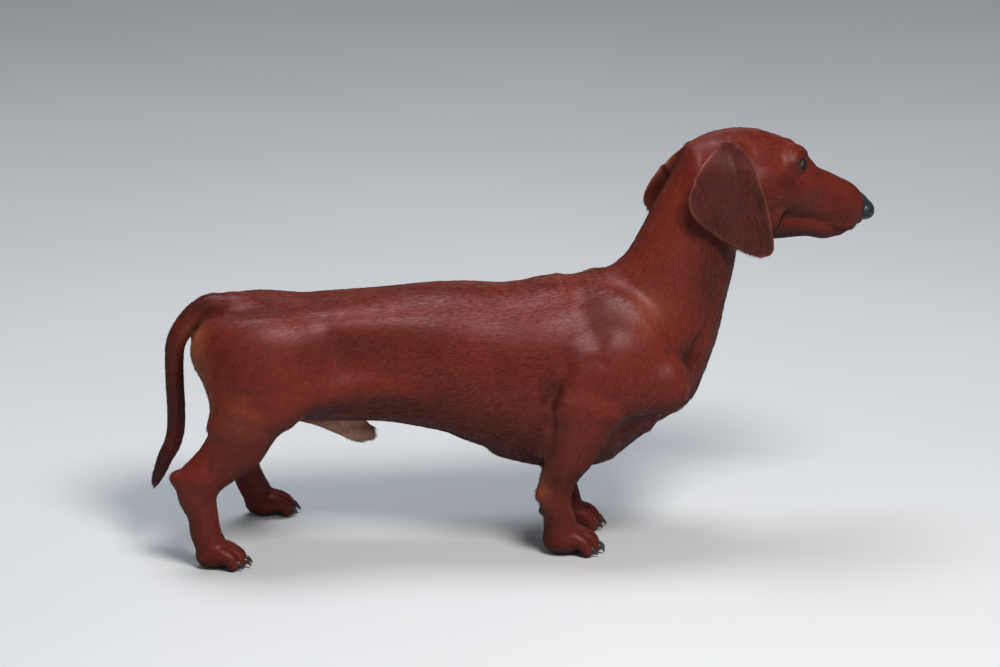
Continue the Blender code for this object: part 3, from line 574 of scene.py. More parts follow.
class Ear:
    """An ear: a curved sheet over an outline in the head's forward-up plane, run in to it."""

    hinge = 31.0                # how high up the sheet starts to run in

    def __init__(self, outline, side, lift=0.0):
        self.outline = smooth_rows(np.array(outline + outline[:1], float), 3)[:-1]
        self.side = side
        self.lift = lift
        points = self.surface()[0]
        self.low = points.min(axis=0)
        self.high = points.max(axis=0)

    def middle(self, u, w):
        """How far out from the midline the sheet lies, with its folds."""
        hang = ramp(w, 38, 8)
        rear = ramp(u, 10, -24)
        swell = 1.8 * bell(u - 4.0 - 0.35 * (30.0 - w), 9.0)
        top = ramp(w, self.hinge, self.hinge + 10) ** 2 * ramp(u, -10, -2)
        behind = 24.0 + 0.56 * (30.0 - w) - u
        front_lip = 1.4 * bell(behind, 2.6)
        front_groove = 2.6 * bell(behind - 9.0, 4.0) * ramp(w, 24, 4)
        vein = 1.3 * bell(u - 0.5 * (38.0 - w), 2.2) * ramp(w, 6, 22)
        crease_line = u + 22.0 - 0.9 * (6.2 - w)
        low = ramp(w, 14, 4)
        crease = 1.2 * bell(crease_line, 2.6) * low
        ledge = 1.6 * bell(crease_line + 6.0, 4.0) * low
        wave = 1.2 * np.sin((u - w) * 0.12) * ramp(w, 8, -22)
        return (27.0 + 12.0 * hang * (2.0 - hang) + (2.0 + self.lift) * rear * hang + swell * hang
                - 10.0 * top + (front_lip - front_groove + vein - crease + ledge) * hang + wave)

    def edge_gap(self, u, w):
        """How far outside the outline places in its plane lie: negative inside it."""
        start = self.outline
        end = np.roll(start, -1, axis=0)
        span = end - start
        along = np.stack([u, w], axis=1) @ span.T - (start * span).sum(axis=1)
        share = np.clip(along / (span ** 2).sum(axis=1), 0.0, 1.0)
        u, w = u[:, None], w[:, None]
        du = u - start[:, 0] - share * span[:, 0]
        dw = w - start[:, 1] - share * span[:, 1]
        gap = np.sqrt((du ** 2 + dw ** 2).min(axis=1))
        crossing = (start[:, 1] > w) != (end[:, 1] > w)
        with np.errstate(divide="ignore", invalid="ignore"):
            at = start[:, 0] + (w - start[:, 1]) / span[:, 1] * span[:, 0]
        inside = (crossing & (u < at)).sum(axis=1) % 2 == 1
        return np.where(inside, -gap, gap)

    def surface(self):
        """Points and faces: fine rings out over one face and back over the other."""
        outline = smooth_rows(np.vstack([self.outline, self.outline[:1]]), 5)[:-1]
        centre = outline.mean(axis=0)
        reach = np.linalg.norm(outline - centre, axis=1)[:, None]
        half = EAR_THICK / 2
        edge_half = 0.55 * half
        shares = np.linspace(0.03, 1.0, 32)[:-1]
        edge = 1.0 - (EAR_INSET + edge_half) / reach
        rows = [(share * edge, half * min(1.0, 0.55 + 4.0 * (1.0 - share))) for share in shares]
        rings = [(share, -out) for share, out in rows]
        for turn in np.radians(np.linspace(-90, 90, 9)):
            rings.append((edge + edge_half * math.cos(turn) / reach, edge_half * math.sin(turn)))
        rings += rows[::-1]
        points = [self.raised(centre + (outline - centre) * share, out) for share, out in rings]
        points += [self.raised(centre[None], out) for out in (-half, half)]
        faces = tube_faces(len(rings), len(outline))
        if self.side < 0:
            faces = [face[::-1] for face in faces]
        return on_head(np.vstack(points)), faces

    def raised(self, flat, out):
        """Places of the outline's plane, this far out from the middle of the sheet."""
        return np.stack([flat[:, 0], (self.middle(*flat.T) + out) * self.side, flat[:, 1]], axis=1)


def make_ear(side):
    if side < 0:
        return Ear(EAR_OUTLINE, side)
    ear = Ear(SWEPT_EAR_OUTLINE, side, lift=4.0)
    ear.hinge = 23.0            # after its box, at which the masks end, has been worked out
    return ear


# --- The lie of the coat ---

# Rows: where (forward, left, up), which way, length in mm, lift in degrees and reach in mm. Those
# of the head are in its own axes; those of the sides are given on the dog's left.
HEAD_SIDE_LIES = [
    (136, 9, 14, -1, 0.1, 0.15, 1.6, 9, 16), (112, 14, 6, -1, 0.1, -0.1, 2.4, 8, 16),
    (96, 8, 28, -1, 0.1, 0.2, 2.4, 8, 16), (86, 18, 0, -1, 0.1, -0.2, 3, 8, 16),
    (70, 18, 44, -1, 0.3, 0.25, 2.6, 9, 10), (56, 28, 22, -0.9, 0.1, -0.3, 3.2, 8, 16),
    (40, 20, 46, -1, 0.2, 0.1, 4, 8, 16), (10, 24, 40, -1, 0.3, 0, 4.6, 8, 16),
    (40, 33, -4, -0.8, 0, -0.6, 4.2, 8, 16), (100, 12, -22, -1, 0, 0.05, 2.6, 8, 16),
    (62, 16, -36, -1, 0, -0.1, 4.5, 8, 16), (12, 40, 10, 0.25, 0, -1, 4, 9, 16),
    (38, 40, -20, 0.55, 0, -0.85, 4, 9, 16), (-12, 40, -10, -0.1, 0, -1, 4.2, 9, 16),
]
SIDE_LIES = [
    (146, 30, 262, -0.35, 0, -0.94, 6.5, 8, 30), (100, 30, 230, -0.6, 0, -0.8, 7.5, 7, 30),
    (168, 20, 220, -0.2, 0, -1, 6.5, 8, 25), (126, 40, 190, -0.4, 0, -0.92, 7.5, 7, 30),
    (132, 20, 145, -0.3, 0.25, -1, 8, 8, 26), (85, 50, 180, -0.6, 0, -0.8, 7.5, 6, 30),
    (70, 56, 140, -0.75, 0, -0.66, 7, 6, 26), (95, 30, 100, -0.8, 0, -0.6, 7, 7, 26),
    (111, 32, 100, -0.95, 0, -0.3, 4.5, 3, 16), (45, 60, 100, -0.3, 0, -0.95, 5, 7, 22),
    (36, 44, 60, -0.15, 0, -1, 4, 8, 18), (30, 42, 30, 0.1, 0, -1, 3.5, 9, 16),
    (48, 36, 14, 0.8, 0, -0.55, 2.6, 9, 14), (10, 55, 200, -0.95, 0, -0.3, 8, 5, 40),
    (0, 62, 140, -0.93, 0, -0.36, 7.5, 5, 40), (20, 30, 78, -1, 0.1, -0.05, 7, 6, 34),
    (-70, 48, 180, -0.96, 0, -0.28, 8, 5, 40), (-70, 40, 125, -0.95, 0, -0.3, 8, 5, 34),
    (-110, 44, 140, -0.8, 0, -0.6, 8, 6, 22), (-150, 40, 195, -0.9, 0, -0.42, 7.5, 5, 34),
    (-200, 58, 170, -0.7, 0, -0.72, 7, 6, 30), (-190, 58, 135, -0.5, 0, -0.86, 6.5, 6, 24),
    (-240, 40, 160, -0.35, 0, -0.94, 7, 8, 24), (-225, 55, 100, -0.6, 0, -0.8, 5, 7, 22),
    (-262, 50, 80, -0.35, 0, -0.93, 4.5, 9, 18), (-256, 48, 40, 0.05, 0, -1, 3.6, 8, 18),
    (-230, 60, 12, 0.8, 0, -0.55, 2.8, 9, 14),
]
HEAD_MIDDLE_LIES = [
    (120, 0, 26, -1, 0, 0.1, 1.8, 8, 16), (60, 0, 48, -1, 0, 0.05, 3.6, 7, 16),
    (10, 0, 48, -1, 0, -0.1, 5, 7, 16),
]
MIDDLE_LIES = [
    (112, 0, 268, -0.55, 0, -0.83, 7, 6, 26), (70, 0, 226, -0.96, 0, -0.2, 8.5, 5, 34),
    (-20, 0, 221, -1, 0, 0, 8.5, 4, 40), (-120, 0, 216, -1, 0, 0, 8, 4, 40),
    (-200, 0, 214, -1, 0, -0.05, 7, 5, 26), (-240, 0, 216, -1, 0, -0.05, 6, 6, 14),
    (-268, 0, 198, -0.6, 0, -0.8, 5.5, 7, 14), (-278, 0, 160, -0.05, 0, -1, 5, 7, 20),
    (-277, 0, 110, -0.05, 0, -1, 5, 7, 20), (-290, 0, 72, -0.4, 0, -0.9, 5, 7, 16),
    (-160, 0, 106, 0.9, 0, -0.4, 6, 8, 12), (-122, 0, 94, 0.9, 0, -0.6, 7, 9, 9),
    (-220, 0, 130, -0.4, 0, -0.9, 4, 9, 14), (-50, 0, 96, -1, 0, -0.05, 8, 7, 34),
    (120, 0, 120, -0.7, 0, -0.75, 8, 8, 20), (160, 4, 230, -0.25, 0, -0.97, 7, 8, 26),
]


def lies(rows, side=1, on_the_head=False):
    """Rows of the coat's lie as they are on the standing dog."""
    rows = np.array(rows) * (1, side, 1, 1, side, 1, 1, 1, 1)
    if on_the_head:
        rows[:, :3] = on_head(rows[:, :3])
        rows[:, 3:6] = rows[:, 3:6] @ HEAD_AXES
    return rows


def coat_lie():
    """Place, direction, length, lift and reach of every row."""
    rows = [part for side in (-1, 1)
            for part in (lies(HEAD_SIDE_LIES, side, True), lies(SIDE_LIES, side))]
    rows = np.vstack(rows + [lies(HEAD_MIDDLE_LIES, 1, True), lies(MIDDLE_LIES)])
    return rows[:, :3], unit(rows[:, 3:6]), *rows[:, 6:].T


SHORT = 0.8                     # all lengths of the coat, against those of the rows
AT_ONCE = 20000                 # points worked out together, to spare the memory


def coat_at(points, normals):
    """The lie along the skin, and the coat's length and lift, between the nearest rows."""
    places, ways, lengths, lifts, reaches = coat_lie()
    lie = np.empty_like(points)
    size = np.empty((len(points), 2))
    for start in range(0, len(points), AT_ONCE):
        part = slice(start, start + AT_ONCE)
        gap2 = ((points[part, None] - places) ** 2).sum(axis=2) / reaches ** 2
        weight = 1.0 / (0.15 + gap2) ** 2.5
        weight /= weight.sum(axis=1, keepdims=True)
        lie[part] = weight @ ways
        size[part] = weight @ np.stack([lengths, lifts], axis=1)
    lie -= normals * (lie * normals).sum(axis=1, keepdims=True)
    return unit(lie + 1e-6), size[:, 0] * SHORT, size[:, 1]


def coat_depth(points):
    """How far inside the solids the skin lies: less on the face, the ears and the feet."""
    u, _, w = in_head(points).T
    face = ramp(u, -10, 30) * ramp(w, -50, -30)
    foot = ramp(points[:, 2], 60, 20)
    tail = ramp(points[:, 0], -258, -268)
    return 0.7 - 0.35 * np.maximum.reduce([face, foot, tail])


# --- Folds: ridges and grooves along smooth paths ---

class Fold:
    """A ridge, or with a negative height a groove, along a path of points."""

    def __init__(self, path, width, height, ends=0.3, on_the_head=False):
        path = np.array(path, float)
        if on_the_head:
            path = on_head(path)
        self.path = smooth_rows(path, 6) if len(path) > 2 else np.linspace(path[0], path[-1], 6)
        self.width = width
        self.height = height
        self.ends = ends

    def rise(self, points):
        """How far each point is raised, and nothing beyond three widths."""
        result = np.zeros(len(points))
        near = within(points, self.path.min(axis=0), self.path.max(axis=0), 3 * self.width)
        if not near.any():
            return result
        some = points[near]
        start = self.path[:-1]
        span = self.path[1:] - start
        share = ((some[:, None] - start) * span).sum(axis=2) / (span ** 2).sum(axis=1)
        share = np.clip(share, 0, 1)
        gap2 = ((some[:, None] - start - share[..., None] * span) ** 2).sum(axis=2)
        index = gap2.argmin(axis=1)
        at = (index + share[np.arange(len(some)), index]) / len(span)
        ends = np.clip(np.minimum(at, 1 - at) / self.ends, 0, 1) if self.ends else 1.0
        nearest = gap2[np.arange(len(some)), index]
        result[near] = self.height * np.exp(-nearest / self.width ** 2) * ends
        return result


def both(path, width, height, ends=0.3, on_the_head=False):
    """The same fold on both sides: the path is given on the dog's left."""
    return [Fold([mirrored(place, side) for place in path], width, height, ends, on_the_head)
            for side in (-1, 1)]


def all_folds(rows, on_the_head=False):
    return [fold for row in rows for fold in both(*row, on_the_head=on_the_head)]


LIP_DEPTH = 1.9
LIPS = [([(136, 8, -12.5), (128, 13, -13.2), (119, 15.5, -13.4), (107, 17, -12), (94, 18, -11.5),
          (80, 19.5, -12), (66, 23, -11)], 1.2, -LIP_DEPTH, 0.08)]
# Paths of the other folds, with their width and height in mm.
FACE_FOLDS = [
    ([(134, 10, -8), (121, 16.5, -9), (107, 18.5, -8), (94, 19.5, -8), (80, 21.5, -8.5)], 2.4, 0.8),
    ([(66, 24, -10), (59, 26, -14), (56, 26, -20)], 1.6, -0.9),
    ([(76, 15, 25), (70, 22, 23), (63, 27, 25), (57, 29, 30)], 1.6, -0.8),
    ([(72, 25, 22), (66, 28, 19), (60, 30, 14)], 4.5, -1.6),
    ([(84, 18, 22), (86, 20, 12), (84, 22, 4)], 3.0, 0.8),
    ([(92, 18, 20), (94, 19, 10), (92, 20, 2)], 3.5, -0.7),
    ([(74, 15, 42), (66, 21, 43), (58, 26, 39)], 2.2, 0.7),
    ([(36, 27, 34), (14, 27, 42), (-4, 16, 40)], 5.0, 0.7),
    ([(66, 28, 2), (54, 33, -6), (46, 33, -20)], 4.0, -0.8),
    ([(-20, 18, 34), (-21, 23, 26), (-22, 26, 14)], 3.4, -3.0),
    ([(-16, 14, 39), (-20, 20, 33), (-26, 25, 18), (-34, 28, 0)], 2.6, 1.4),
]
BODY_FOLDS = [
    ([(100, 33, 210), (86, 48, 184), (80, 58, 160)], 5.0, 1.5),
    ([(162, 26, 251), (158, 27, 215), (152, 29, 188), (140, 34, 167)], 4.5, -2.4),
    ([(152, 29, 184), (141, 36, 166), (130, 43, 159)], 7.5, -4.2),
    ([(80, 42, 228), (72, 52, 212), (66, 58, 192), (62, 60, 174)], 5.5, -1.6),
    ([(36, 60, 184), (33, 62, 166), (28, 62, 150), (22, 61, 139)], 6.5, -2.6),
    ([(46, 63, 166), (58, 64, 173), (70, 64, 164)], 4.5, -1.0),
    ([(-246, 58, 130), (-222, 62, 128), (-208, 63, 125)], 3.0, -1.0),
    ([(-154, 52, 180), (-126, 50, 181), (-100, 50, 172)], 4.5, -1.3),
    ([(112, 30, 205), (116, 42, 180), (122, 50, 158)], 4.5, -2.2),
    ([(60, 52, 196), (58, 58, 172), (48, 62, 148)], 6.0, -1.5),
    ([(98, 56, 152), (76, 62, 142), (52, 64, 134)], 4.5, -1.4),
    ([(112, 52, 138), (92, 60, 128), (70, 64, 120)], 4.0, 0.8),
    ([(30, 61, 158), (26, 62, 146), (22.5, 63, 134), (24, 62, 123), (21, 60, 112),
      (19, 57, 100)], 3.2, -2.6, 0.2),
    ([(33, 64, 138), (35, 65, 131), (34, 64, 124)], 5.0, 1.7, 0),
    ([(26, 55, 95), (22, 50, 78), (18, 46, 64)], 2.4, -1.0),
    ([(-20, 62, 120), (-60, 54, 116), (-96, 46, 116)], 7.0, -1.2),
    ([(-160, 54, 190), (-172, 60, 165), (-176, 62, 140)], 6.0, -1.5),
    ([(-206, 60, 190), (-218, 62, 160), (-224, 60, 132)], 5.0, -1.2),
    ([(-196, 66, 152), (-212, 66, 150), (-232, 60, 152)], 3.5, -1.1),
    ([(-174, 52, 118), (-150, 46, 132), (-120, 44, 138)], 4.0, 1.2),
    ([(-170, 50, 110), (-146, 42, 124), (-118, 40, 130)], 4.0, -1.4),
    ([(-248, 58, 104), (-252, 58, 92), (-252, 56, 80)], 3.0, -1.6),
    ([(-236, 62, 96), (-240, 62, 80), (-244, 56, 60)], 3.0, 0.9),
    ([(-258, 54, 64), (-255, 53, 48), (-252, 52, 36)], 2.2, -1.0),
]


# --- The skin's mesh ---

def link(name, data):
    item = bpy.data.objects.new(name, data)
    bpy.context.scene.collection.objects.link(item)
    return item


def add_object(name, points, faces):
    mesh = bpy.data.meshes.new(name)
    mesh.from_pydata(np.asarray(points).tolist(), [], faces)
    mesh.update()
    return link(name, mesh)


def read(rows, name, width=1, kind=float):
    """One value of every row of a mesh, as an array."""
    flat = np.empty(len(rows) * width, kind)
    rows.foreach_get(name, flat)
    return flat.reshape(-1, width) if width > 1 else flat


def coordinates(mesh):
    return read(mesh.vertices, "co", 3)


def move_vertices(mesh, points):
    mesh.vertices.foreach_set("co", points.ravel())
    mesh.update()


def remesh(item, voxel):
    modifier = item.modifiers.new("Remesh", "REMESH")
    modifier.mode = "VOXEL"
    modifier.voxel_size = voxel
    graph = bpy.context.evaluated_depsgraph_get()
    mesh = bpy.data.meshes.new_from_object(item.evaluated_get(graph))
    item.modifiers.clear()
    item.data = mesh


def subdivide(item, wanted):
    """Halve the edges whose two ends are wanted."""
    work = bmesh.new()
    work.from_mesh(item.data)
    chosen = wanted(coordinates(item.data))
    work.verts.ensure_lookup_table()
    edges = [edge for edge in work.edges
             if chosen[edge.verts[0].index] and chosen[edge.verts[1].index]]
    bmesh.ops.subdivide_edges(work, edges=edges, cuts=1, use_grid_fill=True)
    work.to_mesh(item.data)
    work.free()


def on_fine_parts(points):
    """Where the mesh is twice as fine: the head with its ears, and the paws."""
    u, _, w = in_head(points).T
    return ((u > -28) & (w > -54)) | (points[:, 2] < 30)


def eye_gap(u, v, w):
    """How far places in the head's axes lie from the middle of the nearer eye's opening."""
    return np.linalg.norm(np.stack([u - 69, np.abs(v) - 20.5, w - 33.5], axis=1), axis=1)


def on_finest_parts(points):
    """Where it is finer again: round the eyes, the nose and the lips."""
    u, v, w = in_head(points).T
    lips = (np.abs(w + 11.5) < 5) & (u > 58) & (np.abs(v) > 8)
    return (eye_gap(u, v, w) < 14) | (u > 131) | lips


RELAX = 0.62                    # share of the way to the neighbours' mean in each round
RELAX_BACK = 1.04               # every second round goes back by this much of it
RELAX_ROUNDS = 24
LOWEST_SKIN = 0.12              # how far the skin stays above the floor, mm


def relax(item, at, slopes, share):
    """Even out small waves: move points towards the mean of their neighbours, along the slope."""
    ends = read(item.data.edges, "vertices", 2, np.int32)
    first, second = ends.T
    count = np.bincount(ends.ravel(), minlength=len(at))[:, None]
    share = share[:, None]
    for turn in range(RELAX_ROUNDS):
        pull = -RELAX * RELAX_BACK if turn % 2 else RELAX
        total = np.zeros_like(at)
        for axis in range(3):
            total[:, axis] = (np.bincount(first, at[second, axis], len(at))
                              + np.bincount(second, at[first, axis], len(at)))
        step = total / count - at
        at = at + pull * share * (step * slopes).sum(axis=1, keepdims=True) * slopes
    return at


def waves_to_relax(points):
    """Everywhere but round the eyes and on the toes."""
    foot = ramp(points[:, 2], 30, 22)
    return 1 - np.maximum(ramp(eye_gap(*in_head(points).T), 14, 11), foot)


def skin_level(forms, cut):
    def level(points):
        result = field(points, forms) + coat_depth(points)
        for hollow in cut:
            near = within(points, hollow.low, hollow.high)
            if near.any():
                result[near] = -melt(-result[near], hollow.distance(points[near]), hollow.blend)
        return result
    return level


def joined(surfaces):
    """The points and faces of several surfaces as one list of each."""
    points, faces, count = [], [], 0
    for own_points, own_faces in surfaces:
        points.append(own_points)
        faces += [tuple(index + count for index in face) for face in own_faces]
        count += len(own_points)
    return np.vstack(points), faces


def surface_of(name, forms, voxel):
    """The forms' own surfaces joined and remeshed."""
    item = add_object(name, *joined(form.surface() for form in forms))
    remesh(item, voxel)
    return item


def make_skin():
    """The skin's mesh, in millimetres in the dog's own frame."""
    forms = skin_forms()
    item = surface_of("skin", forms, ROUGH_VOXEL)
    move_vertices(item.data, settle(coordinates(item.data), lambda at: field(at, forms), 3)[0])
    remesh(item, BODY_VOXEL)
    subdivide(item, on_fine_parts)
    subdivide(item, on_finest_parts)
    at, slopes = settle(coordinates(item.data), skin_level(forms, hollows()), 3, 2.5)
    at = relax(item, at, slopes, waves_to_relax(at))
    folds = all_folds(LIPS + FACE_FOLDS, on_the_head=True) + all_folds(BODY_FOLDS)
    rise = sum(fold.rise(at) for fold in folds)
    at = at + slopes * rise[:, None]
    at[:, 2] = np.maximum(at[:, 2], LOWEST_SKIN)
    move_vertices(item.data, at)
    join_ears(item)
    return item


def join_ears(item):
    """Add the two ears' own fine sheets to the skin: each root is buried in the skull."""
    work = bmesh.new()
    work.from_mesh(item.data)
    for side in (-1, 1):
        points, faces = make_ear(side).surface()
        sheet = bpy.data.meshes.new("ear")
        sheet.from_pydata(points.tolist(), [], faces)
        work.from_mesh(sheet)
    work.to_mesh(item.data)
    work.free()


# --- Finishes ---

class Finish:
    """A material's node tree, with short calls for the nodes that the finishes share."""

    def __init__(self, name, **sockets):
        self.material = bpy.data.materials.new(name)
        self.material.use_nodes = True
        self.tree = self.material.node_tree
        self.shader = self.tree.nodes["Principled BSDF"]
        for socket, value in sockets.items():
            self.shader.inputs[socket.replace("_", " ")].default_value = value
        self.place = self.node("ShaderNodeTexCoord").outputs["Object"]

    def node(self, kind, **settings):
        made = self.tree.nodes.new(kind)
        for name, value in settings.items():
            setattr(made, name, value)
        return made

    def feed(self, made, *values):
        """Set or link a node's inputs in order; None leaves an input as it is."""
        for socket, value in zip(made.inputs, values):
            self.give(socket, value)
        return made.outputs[0]

    def give(self, socket, value):
        """Link another socket to this one, or set its own value; None leaves it as it is."""
        if isinstance(value, bpy.types.NodeSocket):
            self.tree.links.new(value, socket)
        elif isinstance(value, tuple) and socket.type == "RGBA":
            socket.default_value = (*value, 1)
        elif value is not None:
            socket.default_value = value

    def math(self, operation, *values):
        return self.feed(self.node("ShaderNodeMath", operation=operation), *values)

    def mask(self, name, output="Fac"):
        return self.node("ShaderNodeAttribute", attribute_name=name).outputs[output]

    def noise(self, size, detail=2.0, place=None):
        """Noise whose features are about size metres across."""
        made = self.node("ShaderNodeTexNoise")
        self.give(made.inputs["Vector"], self.place if place is None else place)
        self.give(made.inputs["Scale"], 1.0 / size)
        self.give(made.inputs["Detail"], detail)
        return made.outputs["Fac"]

    def blend(self, share, first, second):
        made = self.node("ShaderNodeMix", data_type="RGBA")
        for index, value in ((0, share), (6, first), (7, second)):
            self.give(made.inputs[index], value)
        return made.outputs[2]

    def span(self, value, low, high, to_low=0.0, to_high=1.0):
        made = self.node("ShaderNodeMapRange")
        return self.feed(made, value, low, high, to_low, to_high)

    def colour(self, value):
        self.give(self.shader.inputs["Base Color"], value)

    def roughness(self, value):
        self.give(self.shader.inputs["Roughness"], value)

    def mottled(self, size, first, second):
        """A soft mix of two colours, in patches about this size in metres."""
        return self.blend(self.span(self.noise(size), 0.3, 0.7), first, second)

    def bump(self, height, strength, distance):
        made = self.node("ShaderNodeBump")
        for name, value in (("Strength", strength), ("Distance", distance), ("Height", height)):
            self.give(made.inputs[name], value)
        self.give(self.shader.inputs["Normal"], made.outputs["Normal"])

    def streaks(self, length, width):
        """Noise drawn out along the lie of the coat, from four fixed directions."""
        lie = self.mask("lie", "Vector")
        total = None
        weights = None
        for turn in (0, 45, 90, 135):
            angle = math.radians(turn)
            axis = (math.cos(angle), 0, math.sin(angle))
            match = self.node("ShaderNodeVectorMath", operation="DOT_PRODUCT")
            self.feed(match, lie, axis)
            weight = self.math("POWER", self.math("ABSOLUTE", match.outputs["Value"]), 10.0)
            turned = self.node("ShaderNodeMapping", vector_type="TEXTURE")
            for name, value in (("Vector", self.place), ("Rotation", (0, -angle, 0)),
                                ("Scale", (length, width, width))):
                self.give(turned.inputs[name], value)
            noise = self.noise(1.0, 1.5, turned.outputs["Vector"])
            part = self.math("MULTIPLY", weight, noise)
            total = part if total is None else self.math("ADD", total, part)
            weights = weight if weights is None else self.math("ADD", weights, weight)
        return self.math("DIVIDE", total, self.math("ADD", weights, 0.001))


RED = (0.155, 0.0165, 0.0075)           # the coat
DEEP_RED = (0.062, 0.0055, 0.002)       # clouds of a deeper red in it
EAR_BROWN = (0.062, 0.011, 0.010)
TAN_AND_PAINTED_LIGHT = (0.48, 0.135, 0.045)              # the buttocks' own tan, brightened as painted light, and a painted highlight on the ears' rims
FAWN_AND_PAINTED_LIGHT = (0.50, 0.27, 0.185)              # the sheath's own pale colour, made paler still as painted light from below
SABLE_AND_PAINTED_SHADE = (0.012, 0.003, 0.002)           # the tail's own darker hair, the lips, whisker spots and streaks, and painted shade on the throat, jaw, belly, undersides and folds
BARE = (0.007, 0.006, 0.007)            # the lids and the pads
STREAK = (0.008, 0.0006)                # length and width of the coat's streaks, in metres
SPECULAR_TINT = (1.0, 0.76, 0.84, 1)


def coat_finish(name, is_tuft):
    """The short coat: fine streaks along its lie, under markings, painted shade and painted light.
    """
    finish = Finish(name, Roughness=0.5, Specular_IOR_Level=0.28, Specular_Tint=SPECULAR_TINT)
    fine = finish.streaks(*STREAK)
    cloud = finish.noise(0.05, 3.0)
    base = finish.blend(finish.span(cloud, 0.35, 0.68, 0.0, 0.4), RED, DEEP_RED)
    for mask, colour in (("ear", EAR_BROWN), ("tan", TAN_AND_PAINTED_LIGHT), ("fawn", FAWN_AND_PAINTED_LIGHT), ("dark", SABLE_AND_PAINTED_SHADE)):
        base = finish.blend(finish.mask(mask), base, colour)
    base = finish.blend(finish.span(fine, 0.35, 0.7, 0.0, 0.40), base, SABLE_AND_PAINTED_SHADE)
    if is_tuft:
        base = finish.blend(finish.span(finish.mask("tone"), 0.3, 1.0, 0.0, 0.18), base, TAN_AND_PAINTED_LIGHT)
    finish.colour(finish.blend(finish.mask("bare"), base, BARE))
    finish.roughness(finish.span(fine, 0.3, 0.7, 0.36, 0.54))
    if not is_tuft:
        finish.bump(fine, 0.5, 0.0003)
    return finish.material


# Markings and painted shade: which mask, where, how far it reaches and how strong it is. The dark
# patches on the neck's front, above and on the shoulder, behind the elbow, on the forearm and
# wrist, on the lower chest, the loin and the belly are painted shade; those on the tail are its own
# darker hair. The tan of the buttocks is their own, brightened as painted light. Those beside the
# middle are given on the dog's left and are the same on its right.
PATCHES = [
    ("tan", (-257, 22, 176), (12, 20, 24), 1.0), ("tan", (-254, 36, 146), (11, 20, 32), 0.6),
    ("tan", (-226, 55, 128), (24, 20, 20), 0.12), ("tan", (104, 34, 206), (22, 30, 16), 0.12),
    ("tan", (18, 44, 60), (7, 14, 13), 0.55), ("dark", (84, 44, 112), (34, 26, 20), 0.3),
    ("dark", (159, 26, 222), (9, 12, 40), 0.55), ("dark", (138, 36, 164), (14, 14, 12), 0.75),
    ("dark", (70, 48, 206), (22, 22, 34), 0.36), ("dark", (25, 62, 146), (10, 12, 16), 0.6),
    ("dark", (42, 52, 90), (20, 18, 26), 0.4), ("dark", (29, 52, 71), (6, 12, 11), 0.55),
    ("dark", (-138, 48, 182), (44, 16, 13), 0.35), ("dark", (156, 24, 232), (22, 26, 44), 0.6),
    ("fawn", (-142, 0, 100), (40, 20, 16), 1.0), ("dark", (-258, 0, 206), (32, 16, 16), 0.6),
    ("dark", (-290, 0, 66), (22, 30, 30), 0.95), ("dark", (-276, 0, 130), (16, 30, 66), 0.62),
    ("dark", (-50, 0, 84), (70, 44, 22), 0.55), ("dark", (-120, 0, 108), (40, 44, 18), 0.5),
]
# Of these, the dark patches on the lower jaw, in the hollow under the eye and in the recess behind
# the ear are painted shade.
HEAD_PATCHES = [
    ("dark", (86, 0, -28), (56, 40, 13.5), 0.95), ("tan", (80, 26, 0), (30, 12, 9), 0.16),
    ("dark", (69.5, 20, 33.5), (9, 9, 7.2), 0.7), ("dark", (60, 28, 18), (13, 10, 7), 0.5),
    ("dark", (-21, 24, 26), (5, 9, 11), 0.6), ("dark", (118, 16, -4), (12, 8, 6), 0.35),
]


RIM = 1.6                       # width of the ears' rim, where the coat is shorter and a painted highlight lies, mm
CARPAL_PADS = [(16.5, -43, 39), (28, 30, 39)]
PAD_RADIUS = 6.3


def ear_masks(points):
    """How far points belong to an ear, and to its rim."""
    ear, rim = np.zeros((2, len(points)))
    for side in (-1, 1):
        sheet = make_ear(side)
        near = np.flatnonzero(within(points, sheet.low, sheet.high, 8))
        u, v, w = in_head(points[near]).T
        beside = np.abs(v * side - sheet.middle(u, w))
        gap = sheet.edge_gap(u, w)
        on = np.clip(EAR_THICK + 0.6 - beside, 0, 1)
        ear[near] = np.maximum(ear[near], on * ramp(gap, 1.5, -0.5))
        rim[near] = np.maximum(rim[near], on * bell(gap, RIM) * ramp(w, 38, 30))
    return ear, rim


def paint(points, normals):
    """The masks at these points, from 0 to 1."""
    masks = {name: np.zeros(len(points)) for name in ("tan", "fawn", "dark")}

    def lay(name, values, where=slice(None)):
        masks[name][where] = np.maximum(masks[name][where], values)

    for at, rows in ((points, PATCHES), (in_head(points), HEAD_PATCHES)):
        for name, place, reach, strength in rows:
            for side in (-1, 1):
                level = (((at - mirrored(place, side)) / np.array(reach)) ** 2).sum(axis=1)
                lay(name, strength * np.exp(-level ** 1.5))
    ear, rim = ear_masks(points)
    masks["ear"] = ear * 0.9
    # a painted highlight along the rims of the ears
    lay("tan", rim * 0.3)
    masks["rim"] = rim
    lips = sum(fold.rise(points) for fold in all_folds(LIPS, on_the_head=True)) / -LIP_DEPTH
    lay("dark", 0.95 * np.sqrt(lips))
    # painted shade on every surface that faces down
    lay("dark", painted_underside_shade(points, normals))
    # the sheath is kept clear of the painted shade
    masks["dark"] *= 1 - 0.8 * masks["fawn"]
    # Bare skin: soles, lids, carpal pads and the edge of the nose.
    masks["bare"] = ramp(points[:, 2], 5, 3) * ramp(normals[:, 2], -0.3, -0.6)
    for opening in eye_openings():
        lay("bare", opening.rim(points))
    for pad in CARPAL_PADS:
        lay("bare", np.clip(PAD_RADIUS - gap_to(points, pad), 0, 1))
    tip = np.flatnonzero(gap_to(points, on_head((142, 0, 6))) < 22)
    lay("bare", np.clip(1.6 - field(points[tip], nose_forms()), 0, 1), tip)
    for spot in whisker_spots():
        lay("dark", 0.85 * np.clip(1.6 - gap_to(points, spot) / 1.2, 0, 1))
    return masks


